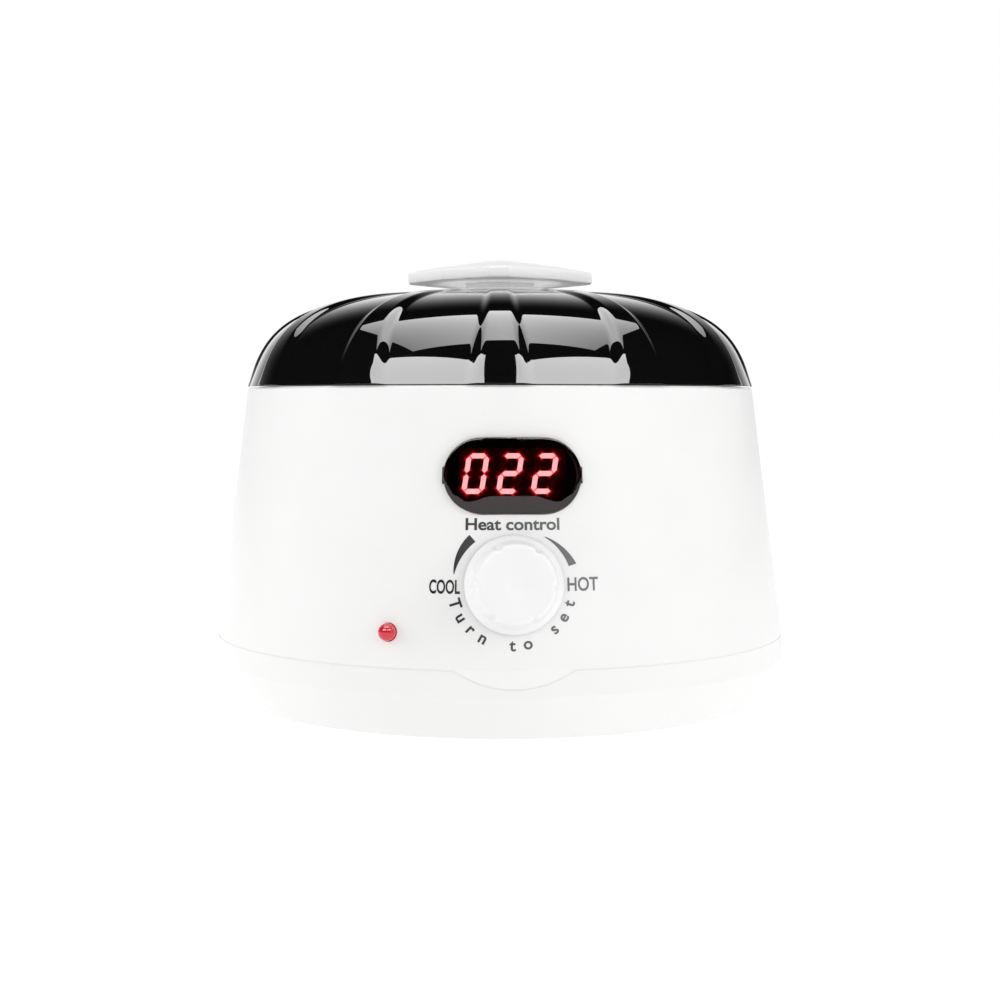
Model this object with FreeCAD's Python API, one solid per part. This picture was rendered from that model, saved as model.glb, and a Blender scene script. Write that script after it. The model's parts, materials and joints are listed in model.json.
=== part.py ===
import FreeCAD, Part
import math
import os

from FreeCAD import Matrix, Placement, Vector

# Round countertop wax warmer: a conical housing on a bevelled base tray, a heated
# aluminium bowl, a lift-out wax pot with a wire bail, and a loose domed lid.
# Frame: origin on the floor under the housing's axis, +Z up, the control panel faces -Y.
# All lengths are millimetres, all angles degrees.

# Outer shape
PARTING_RADIUS = 93.0
RIM_RADIUS = 82.7
RIM_Z = 101.2
PARTING_Z = 21.7
SEAM = 0.4
WALL = 2.4
BASE_RADIUS = 93.1
BASE_Z = 1.0
BEVEL_Z = 14.2
BEVEL_FOOT_RADIUS = 85.9
BASE_FLOOR = 2.4
LIP_RADIUS = 89.7
LIP_Z = 26.0
LIP_WALL = 1.8

# Top deck, heated bowl and wax pot
DECK_Z = 98.2
DECK_THICKNESS = 2.2
RIM_INNER_RADIUS = 79.6
DECK_HOLE_RADIUS = 63.0
SEAL_THICKNESS = 0.6
BOWL_RADIUS = 60.0
BOWL_WALL = 1.5
BOWL_FLANGE_RADIUS = 66.5
BOWL_BOTTOM_Z = 34.0
POT_RADIUS = 57.2
POT_WALL = 1.2
POT_BOTTOM_Z = 36.2
POT_FLANGE_RADIUS = 62.0
POT_TOP_Z = 101.5
BODY_GAP = 0.3

# Bail and its ears
BAIL_WIRE = 1.5
BAIL_RADIUS = 59.5
BAIL_Z = 105.0
EAR_WIDTH = 12.0
EAR_THICKNESS = 1.2
EAR_LOW_Z = 88.0
BAIL_HOLE_RADIUS = BAIL_WIRE + 0.08

# Lid: outline points as (radius, height above the lid's rim)
LID_Z = 101.5
LID_OUTLINE = ((82.3, 0.0), (81.4, 3.5), (79.5, 7.4), (75.2, 14.9), (66.2, 22.5), (49.0, 27.8), (25.0, 30.15))
LID_HEIGHT = 30.5
LID_WALL = 2.6
LID_TURN = -2.5
LID_RIBS = 12
RIB_HALF_ANGLE = 4.6
RIB_RISE = 1.0
RIB_ROOT = 0.8
SKIRT_RADIUS = 79.3
SKIRT_WALL = 1.9
SKIRT_Z = 99.0
SKIRT_TOP_Z = 107.0

# Lid handle
HANDLE_TIP_RADIUS = 30.8
HANDLE_CORNER_RADIUS = 26.5
HANDLE_TIP_ANGLE = 6.0
HANDLE_UNDER_Z = 135.5
HANDLE_EDGE_Z = 139.6
HANDLE_TOP_Z = 142.9
HANDLE_NECK_REACH = 11.3
HANDLE_NECK_FACET = 3.6
HANDLE_FLANGE_RADIUS = 21.0
HANDLE_FLANGE_EDGE_Z = 131.8
HANDLE_FLANGE_TOP_Z = 133.6
HANDLE_FOOT_Z = LID_Z + LID_HEIGHT + 0.05
HANDLE_SCREW_TOP_Z = 140.2

# Control panel: heights on the front of the wall
KNOB_Z = 45.4
DISPLAY_Z = 75.8
TONGUE_RADIUS = 29.0
LED_Z = 31.7
LED_AZIMUTH = -22.6
LED_RADIUS = 2.5
LENS_WIDTH = 38.4
LENS_HEIGHT = 21.6
LENS_PROUD = 0.9
LENS_DEPTH = 3.2
PANEL_FIT = 0.15

# Knob and thermostat
KNOB_SKIRT_RADIUS = 13.9
KNOB_FACE_RADIUS = 11.0
KNOB_HEIGHT = 14.5
KNOB_FLUTES = 6
SHAFT_RADIUS = 3.0
SHAFT_FIT = 0.05
BUSHING_RADIUS = 4.7
THERMOSTAT_WIDTH = 28.0
THERMOSTAT_HEIGHT = 24.0
THERMOSTAT_BACK = -16.5
THERMOSTAT_FRONT = -4.6
SHOULDER_FRONT = -2.8

# Seven-segment digits
DIGIT_HEIGHT = 11.1
DIGIT_WIDTH = 6.2
DIGIT_PITCH = 9.5
DIGIT_SIDE_SHIFT = -0.5
DIGIT_RISE = 0.5
DIGIT_SLANT = 9.0
SEGMENT_WIDTH = 1.35
SEGMENT_GAP = 0.2
SEGMENT_THICKNESS = 0.6
MODULE_FRONT = -4.9
MODULE_BACK = -11.0

# Posts, screws, feet
POST_RADIUS = 4.6
POST_CIRCLE = 76.0
BRACKET_POST_X = 76.0
BRACKET_POST_RADIUS = 4.0
BRACKET_Z = 30.0
BRACKET_THICKNESS = 1.5
FOOT_RADIUS = 6.0
FOOT_CIRCLE = 74.0
FOOT_HEIGHT = 2.5

# Power board and cord gland
BOARD_CENTRE_Y = 40.0
BOARD_X = 60.0
BOARD_Y = 44.0
BOARD_Z = 9.0
BOARD_THICKNESS = 1.6
BOARD_TOP = BOARD_Z + BOARD_THICKNESS
LEAD_DROP_Z = 17.5
LEAD_GAP = 0.2
GLAND_Z = 36.0
GLAND_BORE_RADIUS = 3.6
GLAND_THROAT_RADIUS = 4.6
GLAND_BARREL_RADIUS = 6.0
GLAND_INNER_Y = 82.0
GLAND_SEAT_Y = 92.5
GLAND_GRIP_Y = 95.5

HOUSING_Z = PARTING_Z + SEAM / 2
BASE_TOP_Z = PARTING_Z - SEAM / 2
TAPER = (PARTING_RADIUS - RIM_RADIUS) / (RIM_Z - HOUSING_Z)
TILT = math.degrees(math.atan(TAPER))
SHIELD_RADIUS = 70.0
Z_AXIS = Vector(0, 0, 1)


# ---- Helpers ----

def wall_radius(z):
    """Outer radius of the housing's conical wall at height z."""
    return PARTING_RADIUS - (z - HOUSING_Z) * TAPER


def polar(radius, azimuth, z=0.0):
    """Point at a radius and an azimuth measured from the front (-Y) towards +X."""
    angle = math.radians(azimuth)
    return Vector(radius * math.sin(angle), -radius * math.cos(angle), z)


def disc(radius, low, high, x=0.0, y=0.0):
    return Part.makeCylinder(radius, high - low, Vector(x, y, low))


def tube_ring(inner, outer, low, high, x=0.0, y=0.0):
    return disc(outer, low, high, x, y).cut(disc(inner, low - 1, high + 1, x, y))


def block(x_range, y_range, z_range):
    corner = Vector(x_range[0], y_range[0], z_range[0])
    size = [pair[1] - pair[0] for pair in (x_range, y_range, z_range)]
    return Part.makeBox(size[0], size[1], size[2], corner)


def turned(points, angle=360.0, start=0.0):
    """Solid of revolution about Z of a closed (radius, z) outline."""
    wire = Part.makePolygon([Vector(r, 0, z) for r, z in points + [points[0]]])
    solid = Part.Face(wire).revolve(Vector(), Z_AXIS, angle)
    solid.rotate(Vector(), Z_AXIS, start)
    return solid


def panel(azimuth, z):
    """Placement on the wall's outer surface: X right, Y up the wall, Z outwards."""
    angle = math.radians(azimuth)
    tilt = math.radians(TILT)
    right = Vector(math.cos(angle), math.sin(angle), 0)
    out = Vector(math.sin(angle) * math.cos(tilt), -math.cos(angle) * math.cos(tilt), math.sin(tilt))
    up = out.cross(right)
    origin = polar(wall_radius(z), azimuth, z)
    return Placement(Matrix(right.x, up.x, out.x, origin.x,
                            right.y, up.y, out.y, origin.y,
                            right.z, up.z, out.z, origin.z,
                            0, 0, 0, 1))


def placed(shape, placement):
    copy = shape.copy()
    copy.Placement = placement.multiply(copy.Placement)
    return copy


def stadium(width, height, low, high):
    """Prism with straight top and bottom and half-round ends, about the local Z axis."""
    radius = height / 2
    reach = width / 2 - radius
    middle = block((-reach, reach), (-radius, radius), (low, high))
    ends = [disc(radius, low, high, x) for x in (-reach, reach)]
    return middle.multiFuse(ends).removeSplitter()


def hexagon(across_flats, low, high):
    radius = across_flats / math.sqrt(3)
    corners = [Vector(radius * math.cos(math.radians(60 * i)), radius * math.sin(math.radians(60 * i)), low)
               for i in range(7)]
    return Part.Face(Part.makePolygon(corners)).extrude(Vector(0, 0, high - low))


def screw(head_radius, head_low, head_high, shank_radius, tip, x=0.0, y=0.0):
    """Cross-head screw; its head's driven face is the head_low face."""
    low, high = sorted((head_low, head_high))
    head = disc(head_radius, low, high, x, y)
    shank = disc(shank_radius, min(head_high, tip), max(head_high, tip), x, y)
    depth = 0.5 * (head_high - head_low)
    slot_low, slot_high = sorted((head_low, head_low + depth))
    for long_x, long_y in ((0.6, 0.14), (0.14, 0.6)):
        slot = block((x - long_x * head_radius, x + long_x * head_radius),
                     (y - long_y * head_radius, y + long_y * head_radius), (slot_low, slot_high))
        head = head.cut(slot)
    return head.fuse(shank)


def lead(points, radius):
    """Round wire along straight runs joined by tangent arcs."""
    points = [Vector(*point) for point in points]
    edges = []
    start = points[0]
    for before, corner, after in zip(points, points[1:], points[2:]):
        run_in = (corner - before).normalize()
        run_out = (after - corner).normalize()
        turn = run_in.getAngle(run_out)
        shorter = min((corner - before).Length, (after - corner).Length)
        reach = 0.45 * shorter
        bend = reach / math.tan(turn / 2)
        entry = corner - run_in * reach
        leave = corner + run_out * reach
        centre_way = (run_out - run_in).normalize()
        centre = corner + centre_way * (bend / math.cos(turn / 2))
        middle = centre - centre_way * bend
        edges.append(Part.LineSegment(start, entry).toShape())
        edges.append(Part.Arc(entry, middle, leave).toShape())
        start = leave
    edges.append(Part.LineSegment(start, points[-1]).toShape())
    path = Part.Wire(edges)
    section = Part.Wire(Part.Circle(points[0], points[1] - points[0], radius).toShape())
    return path.makePipeShell([section], True, True)


def save(name, *shapes):
    shape = shapes[0] if len(shapes) == 1 else Part.makeCompound(list(shapes))
    shape.exportStep(os.path.join("parts", name + ".step"))


# ---- Housing and base ----

def corner_posts():
    """Places of the four posts that the base screws run up into."""
    return [polar(POST_CIRCLE, 45 + 90 * i) for i in range(4)]


def foot_places():
    return [polar(FOOT_CIRCLE, 90 * i) for i in range(4)]


def tongue_disc(extra):
    """Disc about the knob's axis that shapes the housing's tongue and the base's notch."""
    return placed(disc(TONGUE_RADIUS + extra, -8, 12), panel(0, KNOB_Z))


def housing():
    chamfer = 0.6
    under_deck = DECK_Z - DECK_THICKNESS
    shell = turned([
        (PARTING_RADIUS, HOUSING_Z),
        (wall_radius(RIM_Z - chamfer), RIM_Z - chamfer),
        (RIM_RADIUS - chamfer, RIM_Z),
        (RIM_INNER_RADIUS, RIM_Z),
        (RIM_INNER_RADIUS, DECK_Z),
        (DECK_HOLE_RADIUS, DECK_Z),
        (DECK_HOLE_RADIUS, under_deck),
        (wall_radius(under_deck) - WALL, under_deck),
        (PARTING_RADIUS - WALL, HOUSING_Z),
    ])
    tongue = tube_ring(PARTING_RADIUS - WALL - BODY_GAP, PARTING_RADIUS, 14.0, HOUSING_Z + 0.3)
    added = [tongue.common(tongue_disc(0.0))]
    added += [disc(POST_RADIUS, HOUSING_Z, under_deck + 0.5, p.x, p.y) for p in corner_posts()]
    for side in (-1, 1):
        added.append(disc(BRACKET_POST_RADIUS, BRACKET_Z + BRACKET_THICKNESS, under_deck + 0.5,
                          side * BRACKET_POST_X))
        added.append(placed(disc(2.6, MODULE_BACK, -5.4, side * 26.0), panel(0, DISPLAY_Z)))
    added.append(Part.makeCylinder(10.0, GLAND_SEAT_Y - 86.5, Vector(0, 86.5, GLAND_Z), Vector(0, 1, 0)))
    shell = shell.multiFuse(added)
    window = stadium(LENS_WIDTH + 2 * PANEL_FIT, LENS_HEIGHT + 2 * PANEL_FIT, -8, 4)
    holes = [placed(window, panel(0, DISPLAY_Z)),
             placed(disc(BUSHING_RADIUS + 0.3, -8, 4), panel(0, KNOB_Z)),
             placed(disc(LED_RADIUS + 0.2, -8, 4), panel(LED_AZIMUTH, LED_Z)),
             Part.makeCylinder(GLAND_BARREL_RADIUS + 0.1, 14, Vector(0, 84, GLAND_Z), Vector(0, 1, 0))]
    holes += [disc(1.5, HOUSING_Z - 1, 34.0, p.x, p.y) for p in corner_posts()]
    for side in (-1, 1):
        holes.append(disc(1.5, BRACKET_Z, 44.0, side * BRACKET_POST_X))
        holes.append(placed(disc(1.1, MODULE_BACK - 1, -6.5, side * 26.0), panel(0, DISPLAY_Z)))
    return shell.cut(holes).removeSplitter()


def vent_slots():
    """Two rows of floor slots, left and right of the base."""
    slots = []
    for side in (-1, 1):
        for row in range(5):
            slot = stadium(20.0, 3.0, BASE_Z - 1, BASE_Z + 4)
            slot.translate(Vector(side * 40.0, -28.0 + 7.0 * row, 0))
            slots.append(slot)
    return slots


def board_screw_places():
    return [(x, BOARD_CENTRE_Y + y) for x in (-26.0, 26.0) for y in (-18.0, 18.0)]


def base_cover():
    floor = BASE_Z + BASE_FLOOR
    inner = LIP_RADIUS - LIP_WALL
    tray = turned([
        (0, BASE_Z),
        (BEVEL_FOOT_RADIUS - 0.5, BASE_Z),
        (BEVEL_FOOT_RADIUS + 0.3, BASE_Z + 0.6),
        (BASE_RADIUS, BEVEL_Z),
        (BASE_RADIUS, BASE_TOP_Z),
        (LIP_RADIUS, BASE_TOP_Z),
        (LIP_RADIUS, LIP_Z),
        (inner, LIP_Z),
        (inner, 12.0),
        (83.6, floor),
        (0, floor),
    ])
    posts = [disc(POST_RADIUS, floor - 0.5, HOUSING_Z, p.x, p.y) for p in corner_posts()]
    posts += [disc(3.0, floor - 0.5, BOARD_Z, x, y) for x, y in board_screw_places()]
    tray = tray.multiFuse(posts)
    notch_band = tube_ring(PARTING_RADIUS - WALL - 2 * BODY_GAP, BASE_RADIUS + 2, 12.0, BASE_TOP_Z + 2)
    cuts = [notch_band.common(tongue_disc(BODY_GAP))]
    cuts += [disc(FOOT_RADIUS + 0.2, BASE_Z - 1, FOOT_HEIGHT, p.x, p.y) for p in foot_places()]
    cuts += [disc(3.2, BASE_Z - 1, 5.0, p.x, p.y) for p in corner_posts()]
    cuts += [disc(1.7, BASE_Z - 1, HOUSING_Z + 1, p.x, p.y) for p in corner_posts()]
    cuts += [disc(1.1, 4.4, BOARD_Z + 1, x, y) for x, y in board_screw_places()]
    cuts += vent_slots()
    cuts.append(block((-22.3, 22.3), (-58.3, -37.7), (BASE_Z - 1, BASE_Z + 0.5)))
    return tray.cut(cuts).removeSplitter()


def rubber_feet():
    feet = []
    for p in foot_places():
        outline = [(0, 0), (FOOT_RADIUS - 0.5, 0), (FOOT_RADIUS, 0.5), (FOOT_RADIUS, FOOT_HEIGHT),
                   (0, FOOT_HEIGHT)]
        foot = turned(outline)
        foot.translate(p)
        feet.append(foot)
    return feet


# ---- Heated bowl and what holds it ----

def bowl_seal():
    return tube_ring(DECK_HOLE_RADIUS + 0.2, BOWL_FLANGE_RADIUS - 0.5, DECK_Z, DECK_Z + SEAL_THICKNESS)


def heating_bowl():
    flange_z = DECK_Z + SEAL_THICKNESS
    flange_top = flange_z + 1.2
    inner = BOWL_RADIUS - BOWL_WALL
    cup = turned([
        (0, BOWL_BOTTOM_Z),
        (BOWL_RADIUS - 4, BOWL_BOTTOM_Z),
        (BOWL_RADIUS, BOWL_BOTTOM_Z + 4),
        (BOWL_RADIUS, flange_z),
        (BOWL_FLANGE_RADIUS, flange_z),
        (BOWL_FLANGE_RADIUS, flange_top),
        (inner, flange_top),
        (inner, BOWL_BOTTOM_Z + 4),
        (inner - 2.8, BOWL_BOTTOM_Z + BOWL_WALL),
        (0, BOWL_BOTTOM_Z + BOWL_WALL),
    ])
    stud = disc(2.0, 24.0, BOWL_BOTTOM_Z + 0.5)
    return cup.fuse(stud).removeSplitter()


def bowl_bracket():
    half = BRACKET_POST_X + 5.0
    bar = block((-half, half), (-6, 6), (BRACKET_Z, BRACKET_Z + BRACKET_THICKNESS))
    holes = [disc(1.7, BRACKET_Z - 1, BRACKET_Z + 3, x) for x in (-BRACKET_POST_X, BRACKET_POST_X)]
    holes.append(disc(2.2, BRACKET_Z - 1, BRACKET_Z + 3))
    return bar.cut(holes)


def heater_band():
    gap = 12.0
    inner = BOWL_RADIUS + 0.1
    outline = [(inner, 44), (inner + 1.8, 44), (inner + 1.8, 84), (inner, 84)]
    return turned(outline, 360 - gap, 90 + gap / 2)


def heater_clamp():
    gap = 6.0
    inner = BOWL_RADIUS + 2.0
    outline = [(inner, 58), (inner + 0.6, 58), (inner + 0.6, 70), (inner, 70)]
    strap = turned(outline, 360 - gap, 90 + gap / 2)
    for side in (-1, 1):
        ear = block(sorted((side * 3.0, side * 4.0)), (inner - 0.1, inner + 6.0), (58, 70))
        hole = Part.makeCylinder(1.6, 12, Vector(-6, inner + 3.4, 64), Vector(1, 0, 0))
        strap = strap.fuse(ear).cut(hole)
    return strap


def clamp_bolt():
    y = BOWL_RADIUS + 5.4
    shank = Part.makeCylinder(1.5, 11.0, Vector(-5.0, y, 64), Vector(1, 0, 0))
    head = Part.makeCylinder(2.7, 2.0, Vector(4.0, y, 64), Vector(1, 0, 0))
    nut = Part.makeCylinder(2.8, 2.2, Vector(-6.2, y, 64), Vector(1, 0, 0))
    return shank.multiFuse([head, nut])


def heat_shield():
    low = BRACKET_Z + BRACKET_THICKNESS
    shield = tube_ring(SHIELD_RADIUS, SHIELD_RADIUS + 0.6, low, 94.0)
    return shield.cut(block((-9, 9), (50, 90), (low - 1, 46)))


def temperature_sensor():
    return disc(3.0, 30.5, BOWL_BOTTOM_Z, 20, 22)


def fuse_body():
    return Part.makeCylinder(2.0, 14.0, Vector(-29, 22, 31.8), Vector(1, 0, 0))


def fuse_clip():
    strap = block((-25, -19), (18, 26), (28.8, BOWL_BOTTOM_Z))
    inside = Part.makeCylinder(2.0, 14.0, Vector(-29, 22, 31.8), Vector(1, 0, 0))
    sides = block((-26, -18), (20, 24), (31.8, 35))
    return strap.cut([inside, sides])


# ---- Controls ----

def thermostat_body():
    half_width = THERMOSTAT_WIDTH / 2
    half_height = THERMOSTAT_HEIGHT / 2
    case = block((-half_width, half_width), (-half_height, half_height), (THERMOSTAT_BACK, THERMOSTAT_FRONT))
    shoulder = disc(6.0, THERMOSTAT_FRONT - 0.2, SHOULDER_FRONT)
    bushing = disc(BUSHING_RADIUS, SHOULDER_FRONT - 0.5, 3.6)
    bore = disc(SHAFT_RADIUS + SHAFT_FIT, -12.0, 5.0)
    return case.multiFuse([shoulder, bushing]).cut(bore)


def thermostat_nut():
    return hexagon(12.5, 0.05, 2.6).cut(disc(BUSHING_RADIUS + 0.05, -1, 4))


def thermostat_shaft():
    rod = disc(SHAFT_RADIUS, -11.5, 11.0)
    flat = block((-5, 5), (2.2, 5), (4.5, 12))
    return rod.cut(flat)


def control_knob():
    outside = turned([
        (0, 0.45),
        (KNOB_SKIRT_RADIUS - 0.3, 0.45),
        (KNOB_SKIRT_RADIUS, 0.9),
        (KNOB_SKIRT_RADIUS - 0.6, 1.9),
        (KNOB_FACE_RADIUS + 1.0, 3.4),
        (KNOB_FACE_RADIUS + 0.5, 5.0),
        (KNOB_FACE_RADIUS, KNOB_HEIGHT - 1.2),
        (KNOB_FACE_RADIUS - 0.35, KNOB_HEIGHT - 0.35),
        (KNOB_FACE_RADIUS - 1.2, KNOB_HEIGHT),
        (3.4, KNOB_HEIGHT - 0.25),
        (2.2, KNOB_HEIGHT - 0.9),
        (0, KNOB_HEIGHT - 1.2),
    ])
    nut_room = disc(8.4, 0, 4.2)
    socket = disc(SHAFT_RADIUS + 0.03, 4.0, 11.2).cut(block((-5, 5), (2.23, 5), (4.5, 12)))
    knob = outside.cut([nut_room, socket])
    flutes = []
    for i in range(KNOB_FLUTES):
        angle = math.radians(-3.6 + 60 * i)
        reach = KNOB_FACE_RADIUS + 0.9
        flutes.append(disc(1.5, 3.6, KNOB_HEIGHT + 1, reach * math.cos(angle), reach * math.sin(angle)))
    return knob.cut(flutes)


def display_lens():
    low = wall_radius(60.0)
    high = wall_radius(92.0)
    skin = turned([(low + LENS_PROUD, 60.0), (high + LENS_PROUD, 92.0), (high - LENS_DEPTH, 92.0),
                   (low - LENS_DEPTH, 60.0)], 60.0, 240.0)
    return skin.common(placed(stadium(LENS_WIDTH, LENS_HEIGHT, -8, 5), panel(0, DISPLAY_Z)))


def segment(length, x, y, upright):
    """Six-sided bar of a digit, centred on (x, y) in the panel's plane."""
    half = length / 2 - SEGMENT_GAP
    side = SEGMENT_WIDTH / 2
    outline = [(-half, 0), (side - half, side), (half - side, side), (half, 0), (half - side, -side),
               (side - half, -side), (-half, 0)]
    if upright:
        outline = [(v, u) for u, v in outline]
    slant = math.tan(math.radians(DIGIT_SLANT))
    corners = [Vector(x + u + slant * (y + v), y + v + DIGIT_RISE, MODULE_FRONT) for u, v in outline]
    return Part.Face(Part.makePolygon(corners)).extrude(Vector(0, 0, SEGMENT_THICKNESS))


def digit(centre_x):
    """The seven bars of one digit, in the order top, upper right, lower right, ... middle."""
    width = DIGIT_WIDTH - SEGMENT_WIDTH
    half = (DIGIT_HEIGHT - SEGMENT_WIDTH) / 2
    return [segment(width, centre_x, half, False),
            segment(half, centre_x + width / 2, half / 2, True),
            segment(half, centre_x + width / 2, -half / 2, True),
            segment(width, centre_x, -half, False),
            segment(half, centre_x - width / 2, -half / 2, True),
            segment(half, centre_x - width / 2, half / 2, True),
            segment(width, centre_x, 0.0, False)]


LIT_BARS = {"0": (0, 1, 2, 3, 4, 5), "2": (0, 1, 3, 4, 6)}


def display_segments():
    """Lit and unlit bars of the three digits, showing the reading 022."""
    lit = []
    unlit = []
    place = panel(0, DISPLAY_Z)
    for number, character in enumerate("022"):
        for index, bar in enumerate(digit((number - 1) * DIGIT_PITCH + DIGIT_SIDE_SHIFT)):
            group = lit if index in LIT_BARS[character] else unlit
            group.append(placed(bar, place))
    return lit, unlit


def display_module():
    return placed(block((-15.5, 15.5), (-8.6, 8.6), (MODULE_BACK, MODULE_FRONT)), panel(0, DISPLAY_Z))


def display_board():
    board = block((-30, 30), (-11, 11), (MODULE_BACK - 1.6, MODULE_BACK))
    holes = [disc(1.3, MODULE_BACK - 3, MODULE_BACK + 1, x) for x in (-26.0, 26.0)]
    return placed(board.cut(holes), panel(0, DISPLAY_Z))


def display_screws():
    screws = []
    for x in (-26.0, 26.0):
        head_low = MODULE_BACK - 3.0
        piece = screw(2.2, head_low, MODULE_BACK - 1.6, 1.0, -6.8, x)
        screws.append(placed(piece, panel(0, DISPLAY_Z)))
    return screws


def indicator_led():
    stem = disc(LED_RADIUS, -7.6, 0.9)
    dome = Part.makeSphere(LED_RADIUS, Vector(0, 0, 0.9))
    flange = disc(LED_RADIUS + 0.4, -8.6, -7.6)
    return placed(stem.multiFuse([dome, flange]).removeSplitter(), panel(LED_AZIMUTH, LED_Z))


def led_holder():
    return placed(tube_ring(LED_RADIUS + 0.05, 3.9, -7.6, -WALL - 0.1), panel(LED_AZIMUTH, LED_Z))


# ---- Power board and cord gland ----

def power_board():
    half = BOARD_Y / 2
    board = block((-BOARD_X / 2, BOARD_X / 2), (BOARD_CENTRE_Y - half, BOARD_CENTRE_Y + half),
                  (BOARD_Z, BOARD_TOP))
    return board.cut([disc(1.4, BOARD_Z - 1, BOARD_TOP + 1, x, y) for x, y in board_screw_places()])


def board_screws():
    return [screw(2.4, BOARD_TOP + 1.6, BOARD_TOP, 1.0, 4.8, x, y) for x, y in board_screw_places()]


def power_relay():
    """Relay with a stepped top."""
    step = block((-28, -20), (30, 60), (22, 27))
    return block((-27, -12), (34, 53), (BOARD_TOP, 26.0)).cut(step)


def terminal_block():
    blank = block((-12, 12), (50, 59), (BOARD_TOP, 21))
    holes = [disc(1.3, 18.0, 22.0, x, 54.5) for x in (-8, -2.7, 2.7, 8)]
    return blank.cut(holes)


def along_y(inner, outer, low, high):
    """Ring whose axis is the cord gland's."""
    solid = Part.makeCylinder(outer, high - low, Vector(0, low, GLAND_Z), Vector(0, 1, 0))
    return solid.cut(Part.makeCylinder(inner, high - low + 2, Vector(0, low - 1, GLAND_Z), Vector(0, 1, 0)))


def upright_to_y(shape):
    """Turns a shape built about +Z so that it lies along the gland's axis."""
    shape.rotate(Vector(), Vector(1, 0, 0), -90)
    shape.translate(Vector(0, 0, GLAND_Z))
    return shape


def cord_gland():
    front = panel(0, KNOB_Z).multVec(Vector(0, -KNOB_FACE_RADIUS + 1.2, KNOB_HEIGHT))
    tip = -front.y
    outline = [(GLAND_THROAT_RADIUS, GLAND_INNER_Y), (GLAND_BARREL_RADIUS, GLAND_INNER_Y),
               (GLAND_BARREL_RADIUS, GLAND_SEAT_Y), (8.0, GLAND_SEAT_Y + 3.0), (8.0, tip - 4.5),
               (6.6, tip - 1.0), (5.6, tip), (GLAND_BORE_RADIUS, tip),
               (GLAND_BORE_RADIUS, GLAND_GRIP_Y), (GLAND_THROAT_RADIUS, GLAND_GRIP_Y)]
    cap = turned(outline)
    hexed = hexagon(17.0, GLAND_SEAT_Y, GLAND_SEAT_Y + 4.0).cut(disc(5.0, 80, 110))
    return upright_to_y(cap.fuse(hexed))


def gland_nut():
    nut = hexagon(16.0, 82.6, 86.5).cut(disc(GLAND_BARREL_RADIUS + 0.05, 80, 90))
    return upright_to_y(nut)


# ---- Wax pot ----

def wax_pot():
    rim_low = POT_TOP_Z - 1.2
    inner = POT_RADIUS - POT_WALL
    return turned([
        (0, POT_BOTTOM_Z),
        (POT_RADIUS - 5, POT_BOTTOM_Z),
        (POT_RADIUS, POT_BOTTOM_Z + 5),
        (POT_RADIUS, rim_low),
        (POT_FLANGE_RADIUS, rim_low),
        (POT_FLANGE_RADIUS, POT_TOP_Z),
        (inner, POT_TOP_Z),
        (inner, POT_BOTTOM_Z + 5),
        (inner - 3.8, POT_BOTTOM_Z + POT_WALL),
        (0, POT_BOTTOM_Z + POT_WALL),
    ])


def ear_x_range(side):
    outer = POT_RADIUS - POT_WALL - 0.4
    return sorted((side * (outer - EAR_THICKNESS), side * outer))


def pot_ears():
    """Flat lugs inside the pot's wall that carry the bail's ends."""
    ears = []
    for side in (-1, 1):
        x_range = ear_x_range(side)
        half = EAR_WIDTH / 2
        plate = block(x_range, (-half, half), (EAR_LOW_Z, BAIL_Z))
        round_top = Part.makeCylinder(half, EAR_THICKNESS, Vector(x_range[0], 0, BAIL_Z), Vector(1, 0, 0))
        hole = Part.makeCylinder(BAIL_HOLE_RADIUS, 6, Vector(x_range[0] - 2, 0, BAIL_Z), Vector(1, 0, 0))
        ears.append(plate.fuse(round_top).cut(hole))
    return ears


def ear_rivets():
    """Two dome-headed rivets through each ear and the pot's wall."""
    rivets = []
    inner = POT_RADIUS - POT_WALL
    for side in (-1, 1):
        for y in (-3.4, 3.4):
            start = Vector(side * (inner - 2.4), y, 93.0)
            way = Vector(side, 0, 0)
            head = Part.makeCylinder(1.7, 0.8, start, way)
            rivets.append(head)
    return rivets


def bail_handle():
    """Half ring lying flat over the front of the pot, its ends turned in through the ears."""
    ring = Part.makeTorus(BAIL_RADIUS, BAIL_WIRE, Vector(0, 0, BAIL_Z), Z_AXIS, 0, 360, 180)
    ring.rotate(Vector(), Z_AXIS, 180)
    for side in (-1, 1):
        end = Vector(side * BAIL_RADIUS, 0, BAIL_Z)
        pin = Part.makeCylinder(BAIL_WIRE, 6.2, end, Vector(-side, 0, 0))
        ring = ring.multiFuse([pin, Part.makeSphere(BAIL_WIRE, end)])
    return ring


# ---- Lid ----

def lid_curve(inset):
    """Outline of the dome from rim to crown, moved inwards by inset."""
    points = []
    for index, (radius, height) in enumerate(LID_OUTLINE):
        share = height / LID_HEIGHT
        points.append(Vector(radius - inset * (1 - 0.75 * share), 0, LID_Z + height - inset * share))
    points.append(Vector(0, 0, LID_Z + LID_HEIGHT - inset))
    curve = Part.BSplineCurve()
    curve.interpolate(points)
    return curve.toShape(), points[0], points[-1]


def dome_face(inset_outer, inset_inner):
    """Meridian face between two insets of the lid's outline."""
    outer, outer_rim, outer_top = lid_curve(inset_outer)
    inner, inner_rim, inner_top = lid_curve(inset_inner)
    edges = [outer, Part.LineSegment(outer_top, inner_top).toShape(), inner,
             Part.LineSegment(inner_rim, outer_rim).toShape()]
    return Part.Face(Part.Wire(Part.__sortEdges__(edges)))


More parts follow.
